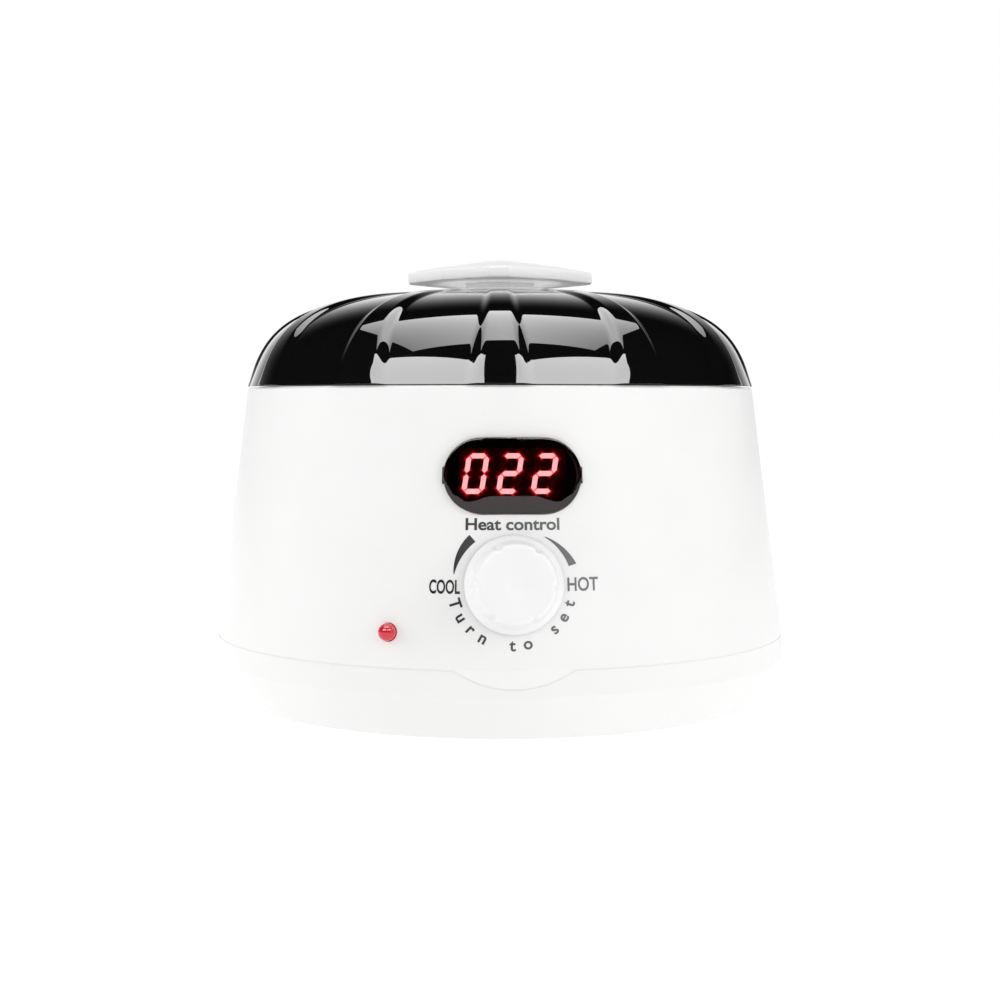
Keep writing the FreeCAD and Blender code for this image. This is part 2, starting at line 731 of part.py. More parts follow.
def raised_ribs():
    """Flat-topped ribs that run from the handle's flange down to the rim."""
    wedge = dome_face(-RIB_RISE, RIB_ROOT).revolve(Vector(), Z_AXIS, 2 * RIB_HALF_ANGLE)
    wedge = wedge.cut(disc(HANDLE_FLANGE_RADIUS + 1, LID_Z, LID_Z + 60))
    ribs = []
    for rib in range(LID_RIBS):
        copy = wedge.copy()
        copy.rotate(Vector(), Z_AXIS, 360 / LID_RIBS * rib - RIB_HALF_ANGLE)
        ribs.append(copy)
    return ribs


def lid_dome():
    dome = dome_face(0.0, LID_WALL).revolve(Vector(), Z_AXIS, 360)
    skirt = tube_ring(SKIRT_RADIUS - SKIRT_WALL, SKIRT_RADIUS, SKIRT_Z, SKIRT_TOP_Z)
    return dome.multiFuse([skirt] + raised_ribs()).cut(disc(2.2, LID_Z, LID_Z + 60))


def handle_outline():
    """Four narrow tips joined by four blunt corners."""
    corners = []
    for quarter in range(4):
        tip = 90 * quarter
        corners.append(polar(HANDLE_TIP_RADIUS, tip - HANDLE_TIP_ANGLE, HANDLE_UNDER_Z))
        corners.append(polar(HANDLE_TIP_RADIUS, tip + HANDLE_TIP_ANGLE, HANDLE_UNDER_Z))
        corners.append(polar(HANDLE_CORNER_RADIUS, tip + 45, HANDLE_UNDER_Z))
    return corners + [corners[0]]


def neck_outline():
    """Unequal octagon, its short sides towards the plate's tips."""
    corners = []
    for quarter in range(4):
        for x in (-HANDLE_NECK_FACET, HANDLE_NECK_FACET):
            corner = Vector(x, -HANDLE_NECK_REACH, HANDLE_FLANGE_TOP_Z - 0.2)
            corners.append(Placement(Vector(), Z_AXIS, 90 * quarter).multVec(corner))
    return corners + [corners[0]]


def lid_handle():
    """Domed plate on an eight-sided neck that stands on a round flange."""
    plate = Part.Face(Part.makePolygon(handle_outline())).extrude(Vector(0, 0, HANDLE_TOP_Z - HANDLE_UNDER_Z))
    rise = HANDLE_TOP_Z - HANDLE_EDGE_Z
    cap_radius = (HANDLE_TIP_RADIUS ** 2 + rise ** 2) / (2 * rise)
    plate = plate.common(Part.makeSphere(cap_radius, Vector(0, 0, HANDLE_TOP_Z - cap_radius)))
    neck_height = HANDLE_UNDER_Z - HANDLE_FLANGE_TOP_Z + 0.4
    neck = Part.Face(Part.makePolygon(neck_outline())).extrude(Vector(0, 0, neck_height))
    flange = turned([(0, HANDLE_FOOT_Z), (14.0, HANDLE_FOOT_Z), (HANDLE_FLANGE_RADIUS, HANDLE_FLANGE_EDGE_Z),
                     (HANDLE_FLANGE_RADIUS, HANDLE_FLANGE_TOP_Z), (0, HANDLE_FLANGE_TOP_Z)])
    return plate.multiFuse([neck, flange]).cut(disc(1.75, HANDLE_FOOT_Z - 1, HANDLE_SCREW_TOP_Z + 0.4))


def lid_washer():
    top = LID_Z + LID_HEIGHT - LID_WALL
    return tube_ring(2.1, 5.5, top - 0.9, top - 0.1)


def lid_screw():
    top = LID_Z + LID_HEIGHT - LID_WALL - 0.9
    return screw(3.6, top - 2.4, top, 1.7, HANDLE_SCREW_TOP_Z)


# ---- Internal leads ----

def heater_leads():
    """Two leads from the heating band's ends down to the terminal block."""
    leads = []
    for x, block_x in ((-9.5, -8.0), (9.5, 8.0)):
        points = [(x, 63.3, 52), (x, 65.5, 40), (x, 65.5, 31), (block_x, 58, 25), (block_x, 54.5, 21.0)]
        leads.append(lead(points, 0.9))
    return leads


def display_cable():
    top = panel(0, DISPLAY_Z).multVec(Vector(22, -11.0 - LEAD_GAP, MODULE_BACK - 0.8))
    points = [(top.x, top.y, top.z), (22, -74.5, 48), (22, -76, 30), (22, -66, 17), (22, -38, 14),
              (22, -8, 14), (22, 14, 19), (22, 22, LEAD_DROP_Z), (22, 22, BOARD_TOP)]
    return lead(points, 0.8)


def led_leads():
    leads = []
    for x in (-0.9, 0.9):
        start = panel(LED_AZIMUTH, LED_Z).multVec(Vector(x, 0, -8.6))
        behind = panel(LED_AZIMUTH, LED_Z).multVec(Vector(x, 0, -15.0))
        floor_x = -26.0 + x
        points = [(start.x, start.y, start.z), (behind.x, behind.y, behind.z), (floor_x, -54, 20),
                  (floor_x, -34, 14), (floor_x, -8, 13), (floor_x + 3, 12, 17), (floor_x + 5, 23, LEAD_DROP_Z),
                  (floor_x + 5, 23, BOARD_TOP)]
        leads.append(lead(points, 0.45))
    return leads


def sensor_lead():
    return lead([(20, 22, 30.5), (20, 22, 25), (16, 27, LEAD_DROP_Z + 1), (16, 27, BOARD_TOP)], 0.7)


def thermostat_leads():
    leads = []
    for x, end_x in ((-7.0, -13.0), (7.0, 6.0)):
        start = panel(0, KNOB_Z).multVec(Vector(x, -THERMOSTAT_HEIGHT / 2 - LEAD_GAP, -12.0))
        points = [(start.x, start.y, start.z), (x, start.y, 22), (x, start.y + 14, 14), (x, -34, 13),
                  (x, -8, 13), (end_x, 12, 17), (end_x, 22, LEAD_DROP_Z), (end_x, 22, BOARD_TOP)]
        leads.append(lead(points, 0.8))
    return leads


# ---- Assembly ----

def screws_up(places, head_radius, head_low, head_high, shank, tip):
    return [screw(head_radius, head_low, head_high, shank, tip, x, y) for x, y in places]


def main():
    os.makedirs("parts", exist_ok=True)
    save("housing", housing())
    save("base_cover", base_cover())
    save("rubber_feet", *rubber_feet())
    save("base_screws", *screws_up([(p.x, p.y) for p in corner_posts()], 2.9, 3.4, 5.0, 1.45, 32.0))
    save("rating_plate", block((-22, 22), (-58, -38), (BASE_Z + 0.1, BASE_Z + 0.5)))

    save("bowl_seal", bowl_seal())
    save("heating_bowl", heating_bowl())
    save("bowl_spacer", tube_ring(2.1, 5.0, BRACKET_Z + BRACKET_THICKNESS, BOWL_BOTTOM_Z))
    save("bowl_bracket", bowl_bracket())
    save("bowl_nut", hexagon(7.0, 26.8, BRACKET_Z).cut(disc(2.05, 20, 40)))
    bracket_places = [(-BRACKET_POST_X, 0), (BRACKET_POST_X, 0)]
    save("bracket_screws", *screws_up(bracket_places, 2.9, 28.4, BRACKET_Z, 1.45, 42.0))
    save("heater_band", heater_band())
    save("heater_clamp", heater_clamp())
    save("clamp_bolt", clamp_bolt())
    save("heat_shield", heat_shield())
    save("temperature_sensor", temperature_sensor())
    save("thermal_fuse", fuse_body())
    save("fuse_clip", fuse_clip())

    save("thermostat_body", placed(thermostat_body(), panel(0, KNOB_Z)))
    save("thermostat_nut", placed(thermostat_nut(), panel(0, KNOB_Z)))
    save("thermostat_shaft", placed(thermostat_shaft(), panel(0, KNOB_Z)))
    save("control_knob", placed(control_knob(), panel(0, KNOB_Z)))
    lit, unlit = display_segments()
    save("display_lens", display_lens())
    save("lit_segments", *lit)
    save("unlit_segments", *unlit)
    save("display_module", display_module())
    save("display_board", display_board())
    save("display_screws", *display_screws())
    save("indicator_led", indicator_led())
    save("led_holder", led_holder())

    save("power_board", power_board())
    save("board_screws", *board_screws())
    save("power_relay", power_relay())
    save("power_capacitor", disc(5.0, BOARD_TOP, 24.0, 2.0, 38.0))
    save("terminal_block", terminal_block())
    save("cord_gland", cord_gland())
    save("gland_nut", gland_nut())

    save("heater_leads", *heater_leads())
    save("display_cable", display_cable())
    save("led_leads", *led_leads())
    save("sensor_lead", sensor_lead())
    save("thermostat_leads", *thermostat_leads())

    save("wax_pot", wax_pot())
    save("pot_ears", *pot_ears())
    save("ear_rivets", *ear_rivets())
    save("bail_handle", bail_handle())

    for name, make in (("lid_dome", lid_dome), ("lid_handle", lid_handle), ("lid_washer", lid_washer),
                       ("lid_screw", lid_screw)):
        piece = make()
        piece.rotate(Vector(), Z_AXIS, LID_TURN)
        save(name, piece)


main()
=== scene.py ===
import json
import math

import bmesh
import bpy
import numpy as np
from mathutils import Matrix, Vector


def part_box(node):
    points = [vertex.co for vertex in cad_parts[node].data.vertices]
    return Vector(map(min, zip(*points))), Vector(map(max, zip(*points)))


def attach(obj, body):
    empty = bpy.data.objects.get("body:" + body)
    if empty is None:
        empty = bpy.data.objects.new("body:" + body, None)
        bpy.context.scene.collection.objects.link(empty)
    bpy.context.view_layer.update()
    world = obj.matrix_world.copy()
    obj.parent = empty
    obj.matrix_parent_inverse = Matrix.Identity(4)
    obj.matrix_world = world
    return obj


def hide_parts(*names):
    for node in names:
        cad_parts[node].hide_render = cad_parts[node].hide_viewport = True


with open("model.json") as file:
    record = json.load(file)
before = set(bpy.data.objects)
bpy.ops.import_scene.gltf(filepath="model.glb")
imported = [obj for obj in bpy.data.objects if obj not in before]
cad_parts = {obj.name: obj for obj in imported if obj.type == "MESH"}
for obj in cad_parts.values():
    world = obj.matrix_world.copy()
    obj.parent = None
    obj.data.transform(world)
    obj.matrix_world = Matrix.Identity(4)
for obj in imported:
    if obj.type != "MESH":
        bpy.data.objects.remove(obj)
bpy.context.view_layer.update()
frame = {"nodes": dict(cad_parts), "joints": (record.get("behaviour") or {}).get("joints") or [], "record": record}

# Lengths are metres unless a name ends in _MM. Angles are degrees unless a name ends in _RAD.
MM = 0.001

# ---- Places read from the frame ----

JOINTS = {joint["name"]: joint for joint in frame["joints"]}
KNOB_AXIS_POINT = Vector(JOINTS["knob_turn"]["pos_m"])
KNOB_INWARD = Vector(JOINTS["knob_turn"]["axis"])
TILT_RAD = math.asin(-KNOB_INWARD.z)
WALL_SLOPE = math.tan(TILT_RAD)
LID_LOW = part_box("lid_dome")[0]
HANDLE_LOW, HANDLE_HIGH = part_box("lid_handle")
DISPLAY_Z = 0.0758
LID_TURN = -2.5


def wall_radius(z):
    """Outer radius of the housing's conical wall at height z."""
    return -KNOB_AXIS_POINT.y - (z - KNOB_AXIS_POINT.z) * WALL_SLOPE


def panel_matrix(z):
    """Matrix of the wall's surface at the front, at height z: X right, Y up the wall, Z outwards."""
    tilt = Matrix.Rotation(math.radians(90) - TILT_RAD, 4, "X")
    return Matrix.Translation((0, -wall_radius(z), z)) @ tilt


def on_wall(u, v, proud, centre_z):
    """Point u along and v up the wall from the middle of its front, standing proud of it."""
    z = centre_z + v * math.cos(TILT_RAD)
    angle = u / wall_radius(centre_z)
    reach = wall_radius(z) + proud * math.cos(TILT_RAD)
    return Vector((reach * math.sin(angle), -reach * math.cos(angle), z + proud * math.sin(TILT_RAD)))


def circle(radius, z, count):
    """Evenly spaced points of a level circle, from the front round to the right."""
    turns = [2 * math.pi * step / count for step in range(count)]
    return [(radius * math.sin(turn), -radius * math.cos(turn), z) for turn in turns]


# ---- Material helpers ----

class Nodes:
    """Short-hand for building one material's node tree."""

    def __init__(self, name):
        self.material = bpy.data.materials.new(name)
        self.material.use_nodes = True
        self.tree = self.material.node_tree
        self.shader = self.tree.nodes["Principled BSDF"]

    def add(self, kind, **settings):
        node = self.tree.nodes.new(kind)
        for key, value in settings.items():
            if key in node.bl_rna.properties:
                setattr(node, key, value)
            else:
                node.inputs[key].default_value = value
        return node

    def link(self, source, output, target, socket):
        self.tree.links.new(source.outputs[output], target.inputs[socket])

    def set(self, **settings):
        for key, value in settings.items():
            self.shader.inputs[key.replace("_", " ")].default_value = value

    def noise(self, scale, detail=3.0, roughness=0.55, stretch=(1, 1, 1)):
        coordinates = self.add("ShaderNodeTexCoord")
        mapping = self.add("ShaderNodeMapping")
        mapping.inputs["Scale"].default_value = stretch
        self.link(coordinates, "Object", mapping, "Vector")
        noise = self.add("ShaderNodeTexNoise", Scale=scale, Detail=detail, Roughness=roughness)
        self.link(mapping, "Vector", noise, "Vector")
        return noise

    def ramp(self, source, output, low, high, start=0.35, end=0.65):
        ramp = self.add("ShaderNodeValToRGB")
        ramp.color_ramp.elements[0].position = start
        ramp.color_ramp.elements[1].position = end
        ramp.color_ramp.elements[0].color = low
        ramp.color_ramp.elements[1].color = high
        self.link(source, output, ramp, "Fac")
        return ramp

    def vary_colour(self, colour, spread, scale):
        """Base colour that drifts a little over the surface."""
        low = [max(0.0, c * (1 - spread)) for c in colour] + [1.0]
        high = [min(1.0, c * (1 + spread)) for c in colour] + [1.0]
        ramp = self.ramp(self.noise(scale), "Fac", low, high, 0.3, 0.7)
        self.link(ramp, "Color", self.shader, "Base Color")

    def vary_roughness(self, low, high, scale):
        spread = self.add("ShaderNodeMapRange")
        spread.inputs["From Min"].default_value = 0.3
        spread.inputs["From Max"].default_value = 0.7
        spread.inputs["To Min"].default_value = low
        spread.inputs["To Max"].default_value = high
        self.link(self.noise(scale, 4.0), "Fac", spread, "Value")
        self.link(spread, "Result", self.shader, "Roughness")

    def bump(self, noise, strength, distance):
        bump = self.add("ShaderNodeBump", Strength=strength, Distance=distance)
        self.link(noise, "Fac", bump, "Height")
        self.link(bump, "Normal", self.shader, "Normal")


def moulded(name, colour, rough=(0.30, 0.40), grain=0.06, spread=0.008, specular=0.35, scatter=0.0, glow=0.0):
    """Moulded plastic: faint mottling, uneven gloss and the mould's fine texture.

    Scatter lets light pass through thin white parts. Glow is painted light: a white emission that makes the part
    brighter than the lamps light it."""
    m = Nodes(name)
    m.vary_colour(colour, spread, 60.0)
    m.vary_roughness(rough[0], rough[1], 220.0)
    m.bump(m.noise(2600.0, 2.0), grain, 0.00004)
    # The emission set here from glow is painted light.
    m.set(Specular_IOR_Level=specular, Subsurface_Weight=scatter, Subsurface_Radius=(1.0, 1.0, 1.0),
          Subsurface_Scale=0.006, Emission_Color=(1.0, 1.0, 1.0, 1.0), Emission_Strength=glow)
    return m.material


def metal(name, colour, rough=(0.22, 0.34), stretch=(1, 1, 1), grain=0.25, scale=900.0):
    """Bare metal with a brushed or spun grain and patchy gloss."""
    m = Nodes(name)
    m.vary_colour(colour, 0.05, 140.0)
    m.vary_roughness(rough[0], rough[1], 300.0)
    m.bump(m.noise(scale, 4.0, 0.6, stretch), grain, 0.00003)
    m.set(Metallic=1.0)
    return m.material


def soft(name, colour, rough=(0.6, 0.75), grain=0.4):
    """Rubber, silicone or wire insulation."""
    m = Nodes(name)
    m.vary_colour(colour, 0.06, 300.0)
    m.vary_roughness(rough[0], rough[1], 500.0)
    m.bump(m.noise(3200.0, 3.0), grain, 0.00003)
    m.set(Specular_IOR_Level=0.3)
    return m.material


def glowing(name, colour, strength, body=(0.02, 0.0, 0.0)):
    """Light bar whose glow is a little uneven."""
    m = Nodes(name)
    dimmer = [c * 0.92 for c in colour] + [1.0]
    ramp = m.ramp(m.noise(700.0, 2.0), "Fac", dimmer, [*colour, 1.0], 0.2, 0.8)
    m.link(ramp, "Color", m.shader, "Emission Color")
    m.set(Base_Color=(*body, 1.0), Roughness=0.4, Emission_Strength=strength)
    return m.material


def smoky_black():
    """Polished near-black plastic with a deep gloss and barely visible haze."""
    m = Nodes("lid_gloss_black")
    m.vary_colour((0.0042, 0.0038, 0.0042), 0.15, 25.0)
    m.vary_roughness(0.018, 0.032, 90.0)
    m.bump(m.noise(420.0, 2.0), 0.012, 0.00005)
    m.set(Specular_IOR_Level=0.5, Coat_Weight=1.0, Coat_Roughness=0.012, Coat_IOR=1.5)
    return m.material


def tinted_window():
    """Dark red transparent plastic of the display's window."""
    m = Nodes("window_dark_red")
    m.vary_colour((0.17, 0.085, 0.095), 0.06, 70.0)
    m.vary_roughness(0.015, 0.03, 160.0)
    m.bump(m.noise(110.0, 2.0), 0.01, 0.00004)
    m.set(Transmission_Weight=1.0, IOR=1.47, Coat_Weight=0.3, Coat_Roughness=0.01)
    return m.material


def lamp_red():
    """Clear-moulded red lamp body, faintly lit."""
    m = Nodes("lamp_red")
    m.vary_colour((0.72, 0.02, 0.05), 0.10, 600.0)
    m.vary_roughness(0.06, 0.12, 400.0)
    m.bump(m.noise(900.0, 2.0), 0.05, 0.00003)
    m.set(Transmission_Weight=0.45, IOR=1.5, Coat_Weight=0.5, Coat_Roughness=0.03,
          Emission_Color=(1.0, 0.03, 0.06, 1.0), Emission_Strength=0.10)
    return m.material


def printed():
    """Screen-printed ink with a slightly uneven density, black at the panel's left and grey at its right."""
    m = Nodes("panel_ink")
    split = m.add("ShaderNodeSeparateXYZ")
    m.link(m.add("ShaderNodeTexCoord"), "Object", split, "Vector")
    spread = m.add("ShaderNodeMapRange")
    spread.inputs["From Min"].default_value = -0.022
    spread.inputs["From Max"].default_value = 0.022
    m.link(split, "X", spread, "Value")
    uneven = m.add("ShaderNodeMath", operation="MULTIPLY_ADD")
    uneven.inputs[1].default_value = 0.08
    m.link(m.noise(900.0), "Fac", uneven, 0)
    m.link(spread, "Result", uneven, 2)
    ink = m.ramp(uneven, "Value", (0.006, 0.006, 0.007, 1.0), (0.19, 0.19, 0.195, 1.0), 0.0, 1.0)
    m.link(ink, "Color", m.shader, "Base Color")
    m.vary_roughness(0.45, 0.6, 700.0)
    m.bump(m.noise(4000.0, 2.0), 0.15, 0.00001)
    m.set(Specular_IOR_Level=0.1)
    return m.material


# ---- Mesh helpers ----

def new_piece(name, vertices, faces, smooth=True):
    mesh = bpy.data.meshes.new(name)
    mesh.from_pydata([tuple(v) for v in vertices], [], faces)
    mesh.validate()
    mesh.update()
    piece = bpy.data.objects.new(name, mesh)
    bpy.context.scene.collection.objects.link(piece)
    mesh.polygons.foreach_set("use_smooth", [smooth] * len(mesh.polygons))
    return piece


def finish_piece(piece, body, material, replaces=()):
    piece.data.materials.clear()
    piece.data.materials.append(material)
    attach(piece, body)
    if replaces:
        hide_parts(*replaces)
    return piece


def crease(piece, angle=35.0):
    """Smooth shading with sharp edges where faces meet at more than the angle."""
    with bpy.context.temp_override(object=piece, active_object=piece, selected_objects=[piece],
                                   selected_editable_objects=[piece]):
        bpy.ops.object.shade_smooth_by_angle(angle=math.radians(angle))


def apply_modifiers(piece):
    graph = bpy.context.evaluated_depsgraph_get()
    mesh = bpy.data.meshes.new_from_object(piece.evaluated_get(graph))
    old = piece.data
    piece.modifiers.clear()
    piece.data = mesh
    bpy.data.meshes.remove(old)


def grid_faces(rows, columns, closed):
    """Quads of a grid of vertices stored row by row; closed joins the last column to the first."""
    faces = []
    last = columns if closed else columns - 1
    for row in range(rows - 1):
        for column in range(last):
            after = (column + 1) % columns
            faces.append((row * columns + column, row * columns + after,
                          (row + 1) * columns + after, (row + 1) * columns + column))
    return faces


def merge_close(piece, distance=1e-6):
    b = bmesh.new()
    b.from_mesh(piece.data)
    bmesh.ops.remove_doubles(b, verts=b.verts, dist=distance)
    bmesh.ops.recalc_face_normals(b, faces=b.faces)
    b.to_mesh(piece.data)
    b.free()
    piece.data.update()


def surface_of_rings(name, outline, columns):
    """Round surface turned from an outline of (radius, height) points."""
    vertices = [point for radius, z in outline for point in circle(radius, z, columns)]
    piece = new_piece(name, vertices, grid_faces(len(outline), columns, True))
    merge_close(piece)
    return piece


def smoothstep(low, high, value):
    """0 up to low, 1 from high on, and eased in between."""
    share = min(1.0, max(0.0, (value - low) / (high - low)))
    return share * share * (3 - 2 * share)


def smooth_lookup(value, pairs):
    """Value read from sorted pairs, eased from one pair to the next and held beyond the last."""
    for (low, first), (high, second) in zip(pairs, pairs[1:]):
        if value <= high:
            return first + (second - first) * smoothstep(low, high, value)
    return pairs[-1][1]


def along(points, count):
    """Points evenly spaced by length on a smooth (Catmull-Rom) curve through the given points."""
    points = [Vector(p) for p in points]
    padded = [2 * points[0] - points[1]] + points + [2 * points[-1] - points[-2]]
    fine = []
    pieces = 24
    for a, b, c, d in zip(padded, padded[1:], padded[2:], padded[3:]):
        for step in range(pieces):
            t = step / pieces
            fine.append(0.5 * ((2 * b) + (c - a) * t + (2 * a - 5 * b + 4 * c - d) * t * t
                               + (3 * b - a - 3 * c + d) * t * t * t))
    fine.append(points[-1])
    lengths = [0.0]
    for a, b in zip(fine, fine[1:]):
        lengths.append(lengths[-1] + (b - a).length)
    result = []
    index = 0
    for step in range(count):
        target = lengths[-1] * step / (count - 1)
        while index < len(lengths) - 2 and lengths[index + 1] < target:
            index += 1
        span = lengths[index + 1] - lengths[index]
        share = 0.0 if span == 0 else (target - lengths[index]) / span
        result.append(fine[index].lerp(fine[index + 1], share))
    return result


# ---- Lid ----

LID_RIM_Z = 0.1015
LID_RIM_RADIUS = 0.0823
LID_RISE = 0.0305
LID_SHOULDER = 3.80
LID_CROWN = 3.15
LID_DRAFT = 0.135
LID_WALL = 0.0026
SKIRT_OUTER = 0.0793
SKIRT_INNER = 0.0774
SKIRT_TOP_Z = 0.107
SKIRT_ROUND = 0.0003
RIBS = 12
RIB_FADE_RADII = (0.014, 0.024)
LID_COLUMNS = 1440
LID_ROWS = 120


def lid_profile(count):
    """Evenly spaced (radius, height over the rim) points of the panels, from the rim to the crown."""
    fine = []
    steps = 4000
    for step in range(steps + 1):
        turn = math.pi / 2 * step / steps
        share = math.sin(turn) ** (2 / LID_SHOULDER)
        radius = LID_RIM_RADIUS * (1 - LID_DRAFT * share) * math.cos(turn) ** (2 / LID_CROWN)
        fine.append((radius, LID_RISE * share))
    fine[-1] = (0.0, LID_RISE)
    lengths = [0.0]
    for before, after in zip(fine, fine[1:]):
        lengths.append(lengths[-1] + math.dist(before, after))
    places = [lengths[-1] * i / (count - 1) for i in range(count)]
    radii = np.interp(places, lengths, [p[0] for p in fine])
    heights = np.interp(places, lengths, [p[1] for p in fine])
    return places, radii, heights


def rib_rise(run):
    """How far a rib stands proud of the panels at a distance from the rim."""
    return 0.0009 + 0.0004 * smoothstep(0.0, 0.010, run) - 0.00075 * smoothstep(0.022, 0.066, run)


def rib_share(across, run):
    """1 on a rib's flat top, 0 on the panels, in between on its steep flank."""
    middle = 0.0033 + 0.0050 * math.exp(-(run / 0.021) ** 1.2)
    half = 0.0013 + 0.0012 * math.exp(-run / 0.027)
    return 1 - smoothstep(middle - half, middle + half, across)


def ribbed_top(runs, radii, heights):
    """Vertices of the lid's outside, row by row from the rim, with the ribs raised out of the panels."""
    ways = circle(1.0, 0.0, LID_COLUMNS)
    pitch = 2 * math.pi / RIBS
    offsets = [(2 * math.pi * c / LID_COLUMNS + pitch / 2) % pitch - pitch / 2 for c in range(LID_COLUMNS)]
    vertices = []
    for row, (run, radius, height) in enumerate(zip(runs, radii, heights)):
        before = max(0, row - 1)
        after = min(len(runs) - 1, row + 1)
        slope = Vector((heights[after] - heights[before], radii[before] - radii[after])).normalized()
        proud = rib_rise(run) * smoothstep(*RIB_FADE_RADII, radius)
        for way, offset in zip(ways, offsets):
            rise = proud * rib_share(abs(offset) * radius, run)
            reach = radius + slope.x * rise
            z = LID_RIM_Z + height + slope.y * rise
            vertices.append((reach * way[0], reach * way[1], z))
    return vertices


def lid_underside(radii, heights):
    """(radius, height) points from under the rim, down and up the skirt, to the crown's inside."""
    low = LID_LOW.z
    chain = [(LID_RIM_RADIUS - 0.0004, LID_RIM_Z), (SKIRT_OUTER, LID_RIM_Z + 0.0004),
             (SKIRT_OUTER, low + SKIRT_ROUND), (SKIRT_OUTER - SKIRT_ROUND, low),
             (SKIRT_INNER + SKIRT_ROUND, low), (SKIRT_INNER, low + SKIRT_ROUND), (SKIRT_INNER, SKIRT_TOP_Z)]
    for radius, height in zip(radii[::4], heights[::4]):
        z = LID_RIM_Z + height - LID_WALL
        if z > SKIRT_TOP_Z + 0.0005:
            chain.append((max(0.0, radius - LID_WALL), z))
    chain.append((0.0, LID_RIM_Z + LID_RISE - LID_WALL))
    return chain


def make_lid():
    runs, radii, heights = lid_profile(LID_ROWS)
    vertices = ribbed_top(runs, radii, heights)
    base = len(vertices)
    chain = lid_underside(radii, heights)
    for radius, z in chain:
        vertices += circle(radius, z, LID_COLUMNS)
    faces = [face[::-1] for face in grid_faces(len(runs), LID_COLUMNS, True)]
    faces += [tuple(base + i for i in face) for face in grid_faces(len(chain), LID_COLUMNS, True)]
    for column in range(LID_COLUMNS):
        after = (column + 1) % LID_COLUMNS
        faces.append((column, after, base + after, base + column))
    piece = new_piece("lid_shell", vertices, faces)
    merge_close(piece, 2e-6)
    piece.data.transform(Matrix.Rotation(math.radians(LID_TURN), 4, "Z"))
    crease(piece, 40.0)
    return piece


# ---- Lid handle ----

# Radii of the plate's outline before its corners are rounded: at its four tips and between them.
TIP_RADIUS = 0.0304
CORNER_RADIUS = 0.0265
TIP_ANGLE = 6.0
OUTLINE_ROUND = 0.0016
HANDLE_EDGE_Z = 0.1391
HANDLE_UNDER_Z = 0.1355
NECK_REACH = 0.0113
NECK_FACET = 0.0036
FLANGE_RADIUS = 0.0208
FLANGE_FOOT_RADIUS = 0.0190
FLANGE_TOP_Z = 0.1331


def rounded(corners, radius, steps=5):
    """The corners of a polygon, each turned into an arc of about the radius."""
    points = []
    for before, corner, after in zip(corners[-1:] + corners[:-1], corners, corners[1:] + corners[:1]):
        inward, outward = (before - corner).normalized(), (after - corner).normalized()
        half = inward.angle(outward) / 2
        start, end = (corner + way * radius / math.tan(half) for way in (inward, outward))
        for step in range(steps):
            share = step / (steps - 1)
            points.append(start.lerp(corner, share).lerp(corner.lerp(end, share), share))
    return points


def handle_outline():
    """The plate's outline: four blunt tips, with sides that bend in a little between them."""
    corners = []
    for quarter in range(4):
        for radius, azimuth in ((TIP_RADIUS, -TIP_ANGLE), (TIP_RADIUS, TIP_ANGLE), (CORNER_RADIUS, 45.0)):
            angle = math.radians(90 * quarter + azimuth)
            corners.append(Vector((radius * math.sin(angle), -radius * math.cos(angle))))
    return rounded(corners, OUTLINE_ROUND)


def soften_edges(piece, width, angle):
    """Rounds the edges that turn by more than the angle, then turns the piece as the lid is turned."""
    bevel = piece.modifiers.new("edges", "BEVEL")
    bevel.width = width
    bevel.segments = 3
    bevel.limit_method = "ANGLE"
    bevel.angle_limit = math.radians(angle)
    apply_modifiers(piece)
    piece.data.transform(Matrix.Rotation(math.radians(LID_TURN), 4, "Z"))
    crease(piece, 14.0)


def make_plate():
    """Faceted plate: a small flat top, a shallow slope, a steeper one and an upright edge."""
    top = HANDLE_HIGH.z
    rings = ((0.0, top), (0.17, top), (0.23, top - 0.0002), (0.68, top - 0.0021),
             (1.0, HANDLE_EDGE_Z), (1.0, HANDLE_UNDER_Z), (0.45, HANDLE_UNDER_Z))
    outline = handle_outline()
    count = len(outline)
    vertices = [(point.x * scale, point.y * scale, z) for scale, z in rings for point in outline]
    faces = [face[::-1] for face in grid_faces(len(rings), count, True)]
    faces.append(tuple((len(rings) - 1) * count + i for i in range(count)))
    plate = new_piece("handle_plate", vertices, faces, False)
    merge_close(plate)
    soften_edges(plate, 0.0006, 40)
    return plate


def make_neck():
    """Eight-sided neck, its short sides towards the plate's tips."""
    vertices = []
    levels = (FLANGE_TOP_Z - 0.0003, HANDLE_UNDER_Z + 0.0004)
    for z in levels:
        for quarter in range(4):
            spin = Matrix.Rotation(math.radians(90 * quarter), 3, "Z")
            vertices += [spin @ Vector((x, -NECK_REACH, z)) for x in (-NECK_FACET, NECK_FACET)]
    faces = grid_faces(len(levels), 8, True)
    faces += [tuple(range(7, -1, -1)), tuple(range(8, 16))]
    neck = new_piece("handle_neck", vertices, faces, False)
    soften_edges(neck, 0.0003, 20)
    return neck


def make_flange():
    """Round flange that widens upwards from its foot on the lid."""
    foot = HANDLE_LOW.z
    outline = [(0.0, foot + 0.0003), (FLANGE_FOOT_RADIUS - 0.002, foot + 0.0002),
               (FLANGE_FOOT_RADIUS - 0.0003, foot), (FLANGE_FOOT_RADIUS, foot + 0.0001),
               (FLANGE_RADIUS, FLANGE_TOP_Z - 0.0004), (FLANGE_RADIUS - 0.0002, FLANGE_TOP_Z - 0.0001),
               (FLANGE_RADIUS - 0.0006, FLANGE_TOP_Z), (0.0, FLANGE_TOP_Z)]
    flange = surface_of_rings("handle_flange", outline, 160)
    crease(flange, 50.0)
    return flange


# ---- Knob ----

